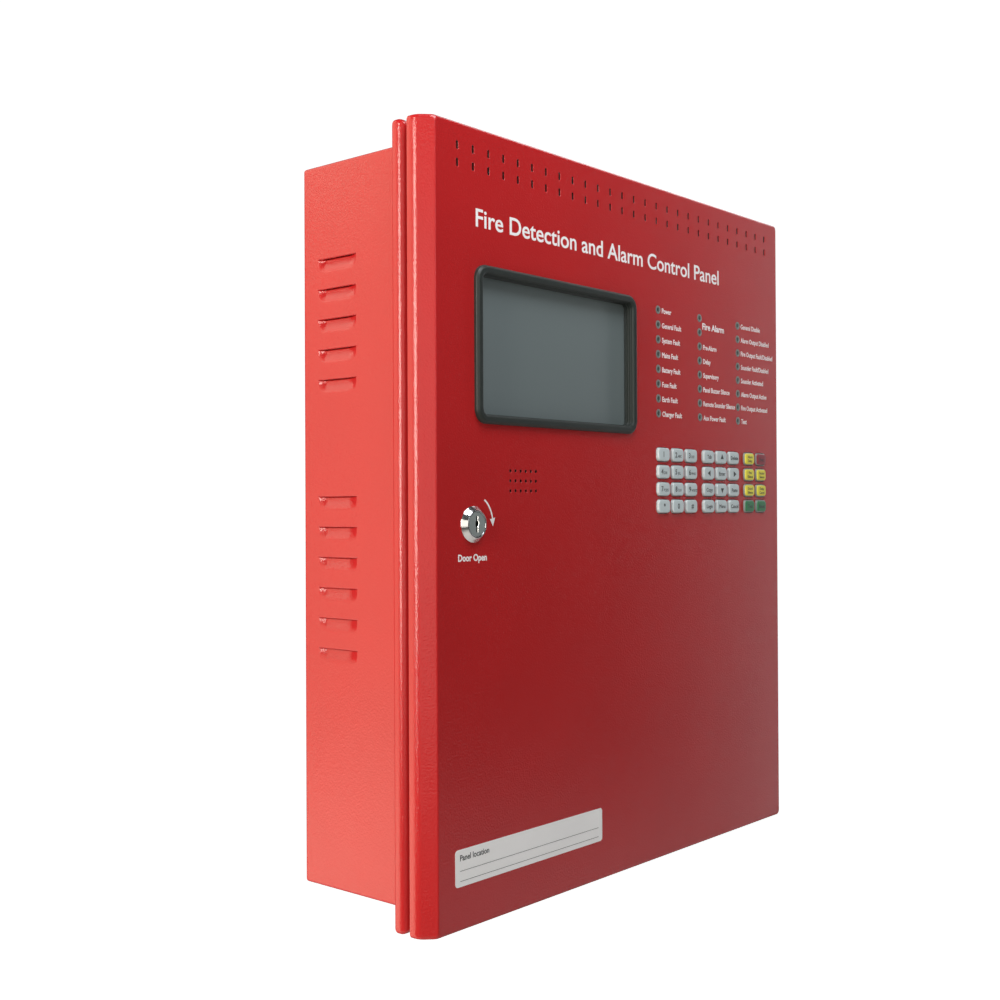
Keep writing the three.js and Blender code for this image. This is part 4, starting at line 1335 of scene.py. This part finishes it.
ARROWS = {"Up": 90, "Left": 180, "Down": 270, "Right": 0}
KEY_COLOURS = ("yellow", "red", "green")
KEY_WORDS = {
    "2": "2 ABC", "3": "3 DEF", "4": "4 GHI", "5": "5 JKL", "6": "6 MNO", "7": "7 PQRS", "8": "8 TUV",
    "9": "9 WXYZ", "star": "*", "hash": "#", "red": "Evac", "green_1": "Test", "green_2": "Reset",
    "yellow_1": "Alarm Delay", "yellow_2": "Fire Silence", "yellow_3": "Buzzer Silence",
    "yellow_4": "Sound Silence", "yellow_5": "Delay Cancel",
}
LAMP_LABELS = (
    ("Power", "General Fault", "System Fault", "Mains Fault", "Battery Fault", "Fuse Fault", "Earth Fault",
     "Charger Fault"),
    ("", "", "Pre-Alarm", "Delay", "Supervisory", "Panel Buzzer Silence", "Remote Sounder Silence",
     "Aux Power Fault"),
    ("General Disable", "Alarm Output Disabled", "Fire Output Fault/Disabled", "Sounder Fault/Disabled",
     "Sounder Activated", "Alarm Output Active", "Fire Output Activated", "Test"),
)


# ---- lock -----------------------------------------------------------------------------------------


@dataclass
class Lock:
    """The key lock: a turned bezel and barrel, its nut, and the plug with its cam."""

    palette: Palette
    door_front: float = -120.0
    plug_head: float = 7.3
    plug_radius: float = 5.9
    cam_radius: float = 8.0

    def __post_init__(self) -> None:
        """Takes the lock's axis from its body's node."""
        low, high = node_box("lock_body")
        self.x, _, self.z = (low + high) / 2

    def bezel(self) -> None:
        """The bezel and the barrel, turned in one, with a round seat for the plug."""
        low, high = node_box("lock_body")
        front, back, door = low[1], high[1], self.door_front
        rim = high[0] - self.x
        section = [
            (6.1, back), (6.1, front + 2.0), (7.45, front + 2.0), (7.45, front), (8.3, front),
            (rim - 0.5, door - 0.9), (rim, door - 0.4), (rim, door + 0.01), (9, door + 0.01),
            (9, back), (6.1, back),
        ]
        radii = (0.1, 0.2, 0.25, 0.35, 0.5, 0.4, 0.1, 0.1, 0.3)
        shell = Shell().lathe(fillet(section, radii, 4)[:-1], (self.x, self.z), segments=96, closed=True)
        piece = shell.build("lock_bezel", self.palette.get("chrome"), sharp=50)
        fit(piece, "door", "chrome_plate", "lock_body")

    def nut(self) -> None:
        """The hexagon nut that holds the barrel to the door."""
        low, high = node_box("lock_nut")
        centre = (self.x, self.z)
        shell = Shell()
        hole = rounded(9.15, 9.15, 9.15, 8)[0] + centre
        shell.plate([arc(centre, 14, 90, 450, 7)[:-1], hole], low[1], high[1])
        fit(shell.build("lock_nut_steel", self.palette.get("zinc")), "door", "zinc_steel", "lock_nut")

    def plug(self) -> None:
        """The plug: a turned face with a sunk keyway, a square end and a bolt for the cam."""
        low, high = node_box("lock_plug")
        x, z = self.x, self.z
        shell = Shell()
        face, radius, head = low[1], self.plug_radius, self.plug_head
        half = [(0.6, 4.6), (0.6, 1.9), (1.25, 1.4), (1.25, -0.9), (0.6, -1.4), (0.6, -4.6)]
        bits = [*half, *((-across, up) for across, up in reversed(half))]
        keyway = np.array(bits) + (x, z)
        rim_ring = rounded(head - 0.3, head - 0.3, head, 12)[0] + (x, z)
        mouth = keyway + 0.22 * np.sign(keyway - (x, z))
        shell.sheet([rim_ring, mouth], face)
        deep = np.array([[face], [face + 0.3], [face + 7.0]])
        shell.grid(Axis.Y.place(np.stack([mouth, keyway, keyway]), deep), slot=1)
        # the keyway's floor takes black plastic as painted shade at the bottom of the deep slot
        shell.cap(Axis.Y.place(keyway, face + 7.0), 2)
        depth = np.array([face, face + 0.09, face + 0.3, face + 1.6, face + 1.6, high[1] - 4.8])
        size = np.array([head - 0.3, head - 0.09, head, head, radius, radius])
        sides = rounded(size, size, size, 12) + (x, z)
        shell.grid(Axis.Y.place(sides, depth[:, None]))
        shell.cap(Axis.Y.place(sides[-1], depth[-1]))
        shell.slab((x - 3, high[1] - 4.9, z - 3), (x + 3, high[1] - 1.2, z + 3), 0.3, 0.4)
        bolt = Shell().lathe(drum(2.6, 1.2, 0, (0.5, 0)), segments=6)
        shell.repeat(bolt, np.array([(x, high[1] - 1.2, z)]))
        # black is painted shade on the keyway's floor
        finishes = self.palette.get("satin", "chrome", "black")
        fit(shell.build("lock_plug_face", finishes), "lock", "chrome_plate", "lock_plug")

    def cam(self) -> None:
        """The cam: a flat arm with round ends and a square hole for the plug's end."""
        low, high = node_box("lock_cam")
        x, z, radius = self.x, self.z, self.cam_radius
        shell = Shell()
        top = arc((x, high[2] - radius), radius, 0, 180, 14)
        outline = np.concatenate([top, arc((x, z), radius, 180, 360, 14)])
        shell.plate([outline, rounded(3.2, 3.2, 0.3, 2)[0] + (x, z)], low[1], high[1])
        fit(shell.build("lock_cam_steel", self.palette.get("zinc")), "lock", "zinc_steel", "lock_cam")

    def build(self) -> None:
        """Builds every piece of the lock."""
        self.bezel()
        self.nut()
        self.plug()
        self.cam()


# ---- inside ---------------------------------------------------------------------------------------


@dataclass
class Inside:
    """What the cabinet and the door hold inside."""

    palette: Palette
    letters: Letters
    key_nodes: list[str]
    sheet: float = 1.5
    plate_y: float = -13.3
    main_face: float = -20.9
    main_back: float = -19.3
    control_face: float = -111.8
    control_back: float = -110.2
    door_inner: float = -118.45
    chip_pitch: float = 1.27
    cage_top: float = 140
    case_height: float = 86
    lid_height: float = 94

    def chassis(self) -> None:
        """The chassis plate: a sheet folded back at both sides, with its screws."""
        shell = folded_strip("chassis_plate", self.sheet, 2.2, 0.8, 4)
        low, _ = node_box("chassis_plate")
        shell.repeat(screw_head(3.4, 2.2), spots((-170, 170), (-104, 45, 190), low[1]))
        piece = shell.build("chassis_plate_steel", self.palette.get("zinc"))
        fit(piece, "cabinet", "zinc_steel", "chassis_plate")

    def main_board(self) -> None:
        """The main board: relays, capacitors, heat sink, processor, chips, headers and plugs."""
        low, high = node_box("main_board")
        face, back = self.main_face, self.main_back
        shell = Shell()
        shell.slab((low[0], face, low[2]), (high[0], back, high[2]), 0.1, 2, slot=0)
        post = Shell().lathe(drum(3, back, self.plate_y, (0.3, 0.3), 2), segments=6, slot=1)
        corners = spots((-52, 58, 168), (-96, 28, 152))
        shell.repeat(post, corners)
        shell.repeat(screw_head(3, 1.9, 1), corners + (0, face, 0))
        relay = Shell().slab((0, face - 16, 104), (15, face, 124), 0.8, 1.0, slot=2)
        shell.row(relay, (-44, 0, 0), (24, 0, 0), 6)
        can = Shell().lathe(drum(6, face, face - 20, (0.6, 0.9), 4), segments=28, slot=3)
        can.lathe(drum(4.6, face - 20.1, face - 19.8), segments=28, slot=1)
        shell.row(can, (-42, 0, -62), (18, 0, 0), 3)
        shell.slab((108, face - 4, -88), (163, face, -48), 0.3, 0.5, slot=4)
        fin = Shell().slab((112, face - 24, -88), (114, face - 3.9, -48), 0.3, 0.4, slot=4)
        shell.row(fin, (0, 0, 0), (9, 0, 0), 6)
        chip = Shell().slab((-14, face - 1.6, -14), (14, face, 14), 0.2, 0.4, slot=5)
        legs = Shell().slab((-13, face - 0.5, -15.6), (-12.4, face - 0.05, 15.6), 0.05, 0.1, slot=1)
        chip.row(legs, (0, 0, 0), (self.chip_pitch, 0, 0), 21)
        shell.repeat(chip, np.array([(60, 0, 48)]))
        small = Shell().slab((-5, face - 1.4, -8), (5, face, 8), 0.2, 0.3, slot=5)
        pair = Shell().slab((-7, face - 0.5, -7.4), (7, face - 0.05, -6.8), 0.05, 0.1, slot=1)
        small.row(pair, (0, 0, 0), (0, 0, self.chip_pitch), 12)
        shell.repeat(small, np.array([(98, 0, 48), (12, 0, 60), (12, 0, 30), (40, 0, -20), (70, 0, -20)]))
        shell.slab((140, face - 9, 28), (149, face, 74), 0.3, 0.5, slot=6)
        plug = Shell().slab((0, face - 12, -102), (14, face, -92), 0.5, 0.6, slot=6)
        shell.row(plug, (-30, 0, 0), (20, 0, 0), 5)
        tiny = Shell().slab((-1, face - 0.7, -0.6), (1, face, 0.6), 0.1, 0.1, slot=5)
        shell.repeat(tiny, spots(range(-50, 100, 7), (-36, -34, 0, 3, 84, 88)))
        finishes = self.palette.get("board", "steel", "blue", "black", "aluminium", "black", "white")
        fit(shell.build("main_board_parts", finishes), "cabinet", "circuit_board", "main_board")

    def terminals(self) -> None:
        """The terminal strip: one pole drawn along the board, each with its screw and wire entry."""
        low, high = node_box("terminal_strip")
        back, front = high[1], low[1]
        section = [
            (back, high[2]), (front + 6, high[2]), (front, high[2] - 4), (front, low[2] + 4),
            (front + 6, low[2]), (back, low[2]), (back, high[2]),
        ]
        outline = fillet(section, (0.4, 0.8, 0.8, 0.4, 0.4), 2)[:-1]
        count = int((high[0] - low[0]) // 5.2)
        pitch = (high[0] - low[0]) / count
        pole = Shell()
        pole.loft(np.stack([outline, outline]), np.array([0.08, pitch - 0.08]), Axis.X, slot=0)
        pole.slab((1.1, front, low[2] + 5.4), (pitch - 1.1, front + 0.6, high[2] - 5.4), 0.1, 1.3, slot=2)
        bolt = screw_head(1.25, 0.5, 1)
        pole.repeat(bolt, np.array([(pitch / 2, front + 0.1, (low[2] + high[2]) / 2)]))
        shell = Shell()
        shell.row(pole, (low[0], 0, 0), (pitch, 0, 0), count)
        finishes = self.palette.get("terminal", "steel", "black")
        fit(shell.build("terminal_strip_poles", finishes), "cabinet", "terminal_green", "terminal_strip")

    def power(self) -> None:
        """The power supply: a perforated cage on its shelf, with screw terminals and a label."""
        low, high = node_box("power_supply")
        shell = Shell()
        x0, x1, top, front = low[0], high[0], self.cage_top, low[1]
        holes = grid_places(np.arange(x0 + 9, x1 - 30, 6.5), np.arange(low[2] + 12, top - 10, 6.5))
        punch = Punch(holes, 1.9, 1.9, 1.9, steps=2, edge=0.2)
        border = rounded((x1 - x0) / 2 - 0.5, (top - low[2]) / 2 - 0.5, 1.2, 2)[0]
        border = border + ((x0 + x1) / 2, (top + low[2]) / 2)
        shell.sheet([border, *punch.outlines(punch.edge)], front, slot=0)
        punch.walls(shell, front, front + 1.0)
        shell.sheet([border, *punch.outlines(0)], front + 1.0, slot=0)
        shell.loft(np.stack([border, border]), np.array([front, front + 1.0]), ends=False)
        shell.slab((x0, front + 1.02, low[2]), (x1, high[1], top), 0.5, 1.2, slot=2)
        shell.slab((x0, -18, top + 0.05), (x1, high[1], high[2]), 0.3, 0.8, slot=0)
        block = Shell().slab((0, -31, top + 1), (9.6, -18.02, top + 14), 0.5, 0.6, slot=2)
        block.repeat(screw_head(2.6, 0.9, 1), np.array([(4.8, -30.7, top + 7.5)]))
        shell.row(block, (-166, 0, 0), (10.5, 0, 0), 8)
        shell.slab((x1 - 25, front - 0.15, 20), (x1 - 4, front, 110), 0.05, 1, slot=3)
        finishes = self.palette.get("aluminium", "steel", "black", "label")
        fit(shell.build("power_supply_cage", finishes), "cabinet", "aluminium_cage", "power_supply")

    def mains(self) -> None:
        """The mains terminal block with three poles and a fuse holder."""
        low, high = node_box("mains_terminal_block")
        shell = Shell()
        shell.slab((low[0], -20, low[2]), (high[0], high[1], high[2]), 0.6, 2, slot=0)
        pole = Shell().slab((0, low[1], 171), (12, -20.02, 193), 0.6, 1, slot=1)
        pole.repeat(screw_head(2.8, 0.8, 2), spots((6,), (176, 188), low[1] + 0.3))
        shell.row(pole, (-164, 0, 0), (14, 0, 0), 3)
        holder = [(0, 171), (6, 171), (6, 188), (4.6, 188.4), (4.6, 193), (0, 193)]
        shell.lathe(fillet(holder, (0.8, 0.3, 0.2, 0.6), 3), (-104, -25), Axis.Z, 28, slot=0)
        finishes = self.palette.get("black", "white", "steel")
        fit(shell.build("mains_block_parts", finishes), "cabinet", "black_plastic", "mains_terminal_block")

    def batteries(self) -> None:
        """The batteries: a case with a stepped lid, flat tabs and a plain label."""
        for side in ("left", "right"):
            node = "battery_" + side
            low, high = node_box(node)
            shell = Shell()
            case_top, lid_top = low[2] + self.case_height, low[2] + self.lid_height
            shell.slab(low, (high[0], high[1], case_top), 0.8, 2.0, Axis.Z, 0)
            lid = (high[0] - 1, high[1] - 1, lid_top)
            shell.slab((low[0] + 1, low[1] + 1, case_top + 0.01), lid, 1.2, 2.0, Axis.Z, 0)
            for i, x in enumerate((low[0] + 12, high[0] - 12)):
                collar = (x + 6, low[1] + 16, lid_top + 1)
                shell.slab((x - 6, low[1] + 3, lid_top - 0.5), collar, 0.4, 1, Axis.Z, 3 + i)
                tab = (x + 3, low[1] + 8.9, high[2])
                shell.slab((x - 3, low[1] + 8, lid_top + 0.9), tab, 0.15, 0.3, Axis.Y, 1)
            label = (high[0] - 16, low[1], low[2] + 82)
            shell.slab((low[0] + 16, low[1] - 0.2, low[2] + 60), label, 0.05, 2, slot=2)
            place = ((low[0] + high[0]) / 2, low[2] + 67)
            self.letters.write(shell, "12 V  7 Ah", place, 7, low[1] - 0.2, align=Align.CENTRE, slot=0)
            finishes = self.palette.get("case", "copper", "label", "black", "red_cap")
            fit(shell.build(node + "_case", finishes), "cabinet", "battery_case", node)

    def strap(self) -> None:
        """The strap over the batteries: a strip folded back at both ends."""
        shell = folded_strip("battery_bracket", self.sheet, 2.4, 0.9, 5)
        piece = shell.build("battery_strap", self.palette.get("zinc"))
        fit(piece, "cabinet", "zinc_steel", "battery_bracket")

    def ribbon(self) -> None:
        """The ribbon cable: a flat strip carried along a smooth curve through its route's points.

        The route repeats the solid's points. Between two of them the curve is a cubic that meets
        its neighbours with the same slope.
        """
        route = np.array([(144.5, -30.2), (147, -44), (172, -52), (181, -74), (179, -94), (176, -104)])
        low, high = node_box("door_ribbon_cable")
        knots = np.linspace(0, 1, len(route))
        t = np.linspace(0, 1, 60)
        slope = np.gradient(route, knots, axis=0)
        which = np.clip(np.searchsorted(knots, t, "right") - 1, 0, len(route) - 2)
        step = knots[1]
        s = ((t - knots[which]) / step)[:, None]
        a, b = route[which], route[which + 1]
        da, db = slope[which] * step, slope[which + 1] * step
        line = (2 * s**3 - 3 * s**2 + 1) * a + (s**3 - 2 * s**2 + s) * da
        line = line + (3 * s**2 - 2 * s**3) * b + (s**3 - s**2) * db
        along = np.gradient(line, axis=0)
        along /= np.linalg.norm(along, axis=1, keepdims=True)
        side = np.stack([-along[:, 1], along[:, 0]], 1) * 0.42
        z = np.array([low[2], low[2], high[2], high[2]])
        sign = np.array([-1, 1, 1, -1])[None, :, None]
        flat = line[:, None] + side[:, None] * sign
        rings = np.concatenate([flat, np.broadcast_to(z[None, :, None], (len(t), 4, 1))], -1)
        shell = Shell()
        shell.grid(rings)
        shell.cap(rings[0])
        shell.cap(rings[-1])
        piece = shell.build("ribbon_cable", self.palette.get("ribbon"))
        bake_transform(piece)
        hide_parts("door_ribbon_cable")

    def control_board(self) -> None:
        """The control board behind the door with its posts, header and chips."""
        low, high = node_box("control_board")
        face, back = self.control_face, self.control_back
        shell = Shell()
        shell.slab((low[0], face, low[2]), (high[0], back, high[2]), 0.1, 2, slot=0)
        post = Shell().lathe(drum(2.5, self.door_inner, face, (0.2, 0.2), 2), segments=6, slot=1)
        corners = spots((12, 186), (-6, 64, 164))
        shell.repeat(post, corners)
        shell.repeat(Shell().lathe(drum(2.7, back, back + 1.8), segments=6, slot=1), corners)
        shell.slab((172, back, 30), (180, -104.6, 72), 0.3, 0.5, slot=2)
        for (x, z), (wide, tall, rise) in (
            ((60, 84), (20, 20, 1.8)), ((100, 88), (12, 12, 1.4)), ((60, 20), (12, 16, 1.4))
        ):
            shell.slab((x, back, z), (x + wide, back + rise, z + tall), 0.2, 0.4, slot=3)
        tiny = Shell().slab((-1, back, -0.6), (1, back + 0.7, 0.6), 0.1, 0.1, slot=3)
        shell.repeat(tiny, spots(range(24, 166, 9), (60, 66, 120, 126, 150)))
        finishes = self.palette.get("board", "steel", "white", "black")
        fit(shell.build("control_board_parts", finishes), "door", "circuit_board", "control_board")

    def mat(self) -> None:
        """The keypad mat: a sheet with a hole for each plunger."""
        low, high = node_box("keypad_mat")
        centres = [sum(node_box(node)) / 2 for node in self.key_nodes]
        punch = Punch(np.array(centres)[:, ::2], 3.5, 2.5, 0.5, steps=1, edge=0.05)
        outline = rounded((high[0] - low[0]) / 2, (high[2] - low[2]) / 2, 3, 4)[0]
        outline = outline + ((low[0] + high[0]) / 2, (low[2] + high[2]) / 2)
        shell = Shell()
        shell.sheet([outline, *punch.outlines(punch.edge)], low[1])
        shell.sheet([outline, *punch.outlines(0)], high[1])
        punch.walls(shell, low[1], high[1])
        shell.loft(np.stack([outline, outline]), np.array([low[1], high[1]]), ends=False)
        piece = shell.build("keypad_mat_rubber", self.palette.get("rubber"))
        fit(piece, "door", "black_rubber", "keypad_mat")

    def sounder(self) -> None:
        """The sounder: a stepped can with a flange, two lugs and their screws."""
        low, high = node_box("sounder")
        x, z = (low[0] + high[0]) / 2, (low[2] + high[2]) / 2
        front, back = low[1], high[1]
        radius = (high[2] - low[2]) / 2
        shell = Shell()
        inner, step = radius - 3, back - 3
        section = [(0, front), (radius, front), (radius, step), (inner, step), (inner, back), (0, back)]
        shell.lathe(fillet(section, (0.4, 0.8, 0.6, 1.2), 4), (x, z), segments=48)
        for side in (-1, 1):
            lug = (x + side * 25, front + 2, z + 4)
            shell.slab((x + side * (radius - 1), front, z - 4), lug, 0.3, 2)
            head = drum(2.2, front + 3.4, front + 1.9, (0.8, 0))
            shell.lathe(head, (x + side * 21, z), segments=20, slot=1)
        piece = shell.build("sounder_can", self.palette.get("black", "steel"))
        fit(piece, "door", "black_plastic", "sounder")

    def build(self) -> None:
        """Builds everything inside."""
        self.chassis()
        self.main_board()
        self.terminals()
        self.power()
        self.mains()
        self.batteries()
        self.strap()
        self.ribbon()
        self.control_board()
        self.mat()
        self.sounder()


# ---- studio ---------------------------------------------------------------------------------------


@dataclass
class Studio:
    """Camera, lights and floor. Lengths are metres here."""

    position: Colour = (-0.7447, -0.6385, 0.0092)
    yaw: float = 49.162
    pitch: float = 0.426
    roll: float = -0.266
    lens: float = 46.54
    floor_height: float = -1.25

    def camera(self) -> None:
        """Sets the camera by its place and its yaw, pitch and roll in degrees."""
        yaw, pitch, roll = (math.radians(a) for a in (self.yaw, self.pitch, self.roll))
        ahead = Vector((math.sin(yaw) * math.cos(pitch), math.cos(yaw) * math.cos(pitch), math.sin(pitch)))
        level = ahead.cross(Vector((0, 0, 1))).normalized()
        above = level.cross(ahead)
        right = math.cos(roll) * level + math.sin(roll) * above
        up = math.cos(roll) * above - math.sin(roll) * level
        turn = Matrix((right, up, -ahead)).transposed().to_4x4()
        data = bpy.data.cameras.new("camera")
        data.lens = self.lens
        data.sensor_width = 36
        data.clip_start = 0.01
        holder = bpy.data.objects.new("camera", data)
        holder.matrix_world = Matrix.Translation(self.position) @ turn
        bpy.context.scene.collection.objects.link(holder)
        bpy.context.scene.camera = holder

    def light(
        self, name: str, place: Colour, aim: Colour, size: float, power: float, tall: float, tint: Colour
    ) -> None:
        """Adds a soft oblong light.

        Args:
            name: its name.
            place: where it stands.
            aim: the point that it faces.
            size: its width.
            power: its power in watts.
            tall: its height.
            tint: its colour.
        """
        data = bpy.data.lights.new(name, "AREA")
        data.energy = power
        data.shape = "RECTANGLE"
        data.size = size
        data.size_y = tall
        data.color = tint
        holder = bpy.data.objects.new(name, data)
        holder.location = place
        holder.rotation_euler = (Vector(aim) - Vector(place)).to_track_quat("-Z", "Y").to_euler()
        bpy.context.scene.collection.objects.link(holder)

    def world(self) -> None:
        """A white surround that lights the panel only softly."""
        world = bpy.data.worlds.new("studio")
        bpy.context.scene.world = world
        world.use_nodes = True
        tree = world.node_tree
        background = tree.nodes["Background"]
        background.inputs["Color"].default_value = (1, 1, 1, 1)
        path = tree.nodes.new("ShaderNodeLightPath")
        reach = tree.nodes.new("ShaderNodeMapRange")
        reach.inputs["To Min"].default_value = 0.06
        reach.inputs["To Max"].default_value = 1.05
        tree.links.new(path.outputs["Is Camera Ray"], reach.inputs["Value"])
        tree.links.new(reach.outputs["Result"], background.inputs["Strength"])

    def floor(self) -> None:
        """A pale floor that fades into the white surround with distance from the panel."""
        shell = Shell()
        radius = np.array([0.01, 400, 900, 1800, 4000, 12000])
        depth = np.full(len(radius), self.floor_height / MM)
        angle = np.linspace(0, 2 * math.pi, 49)[:-1]
        flat = radius[:, None, None] * np.stack([np.cos(angle), np.sin(angle)], 1)
        shell.grid(Axis.Z.place(flat, depth[:, None]))
        n = Nodes("pale floor")
        length = n.node("ShaderNodeVectorMath", operation="LENGTH")
        n.link(n.where, length.inputs[0])
        far = n.ramp(length.outputs["Value"], 0.5, 2.2, 0.7, 1)
        n.link(n.mix(n.noise(300, 2), (0.86, 0.86, 0.86), (0.9, 0.9, 0.9)), n.shader.inputs["Base Color"])
        n.shader.inputs["Emission Color"].default_value = (1, 1, 1, 1)
        seen = n.node("ShaderNodeLightPath").outputs["Is Camera Ray"]
        n.link(n.math("MULTIPLY", far, seen), n.shader.inputs["Emission Strength"])
        n.set(Roughness=0.7)
        shell.build("floor", [n.material])

    def build(self) -> None:
        """Sets up the studio."""
        bpy.context.scene.view_settings.view_transform = "Standard"
        self.camera()
        self.world()
        self.floor()
        warm, cool = (1, 0.94, 0.84), (0.95, 0.97, 1)
        left, amber = (-0.2, -0.05, 0.0), (1, 0.85, 0.68)
        # Each row gives place, aim, width, power, height and tint.
        self.light("left_softbox", (-1.9, -0.32, 0.3), (-0.2, -0.08, 0.0), 0.5, 27, 1.1, warm)
        self.light("left_back_card", (-1.75, 1.05, 0.0), left, 1.6, 20, 2.0, (1, 0.83, 0.62))
        self.light("left_low_card", (-1.2, 0.8, -0.95), left, 1.4, 6.5, 1.1, (1, 0.87, 0.72))
        self.light("top_back_card", (-0.8, 1.25, 1.15), (-0.2, 0.0, 0.0), 1.3, 9, 1.1, amber)
        self.light("camera_card", (-1.55, -1.4, 0.15), (-0.2, -0.1, 0.0), 0.9, 4.8, 1.3, warm)
        self.light("front_softbox", (-0.2, -0.45, 0.66), (-0.05, -0.12, 0.12), 0.35, 3.5, 0.35, cool)
        self.light("front_strip", (-0.3, -1.2, 0.36), (-0.1, -0.12, 0.12), 0.28, 1.2, 0.6, cool)
        self.light("right_card", (2.1, -0.8, 0.2), (0.15, -0.12, 0.0), 0.5, 5, 2.0, cool)
        self.light("floor_card", (1.6, -1.25, -0.95), (0.0, -0.12, -0.1), 1.5, 1.4, 0.5, cool)
        self.light("top_right_card", (1.5, 0.15, 1.3), (0.0, -0.1, 0.0), 1.0, 8, 1.0, cool)


def main() -> None:
    """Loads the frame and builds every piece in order."""
    logging.basicConfig(level=logging.INFO, format="%(name)s: %(message)s")
    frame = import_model()
    Studio().build()
    palette = Palette()
    letters = Letters()
    keys = [name for name in frame["bodies"] if name.startswith("key_")]
    Cabinet(palette).build()
    Door(palette, letters, keys).build()
    Lock(palette).build()
    Inside(palette, letters, keys).build()


if __name__ == "__main__":
    main()
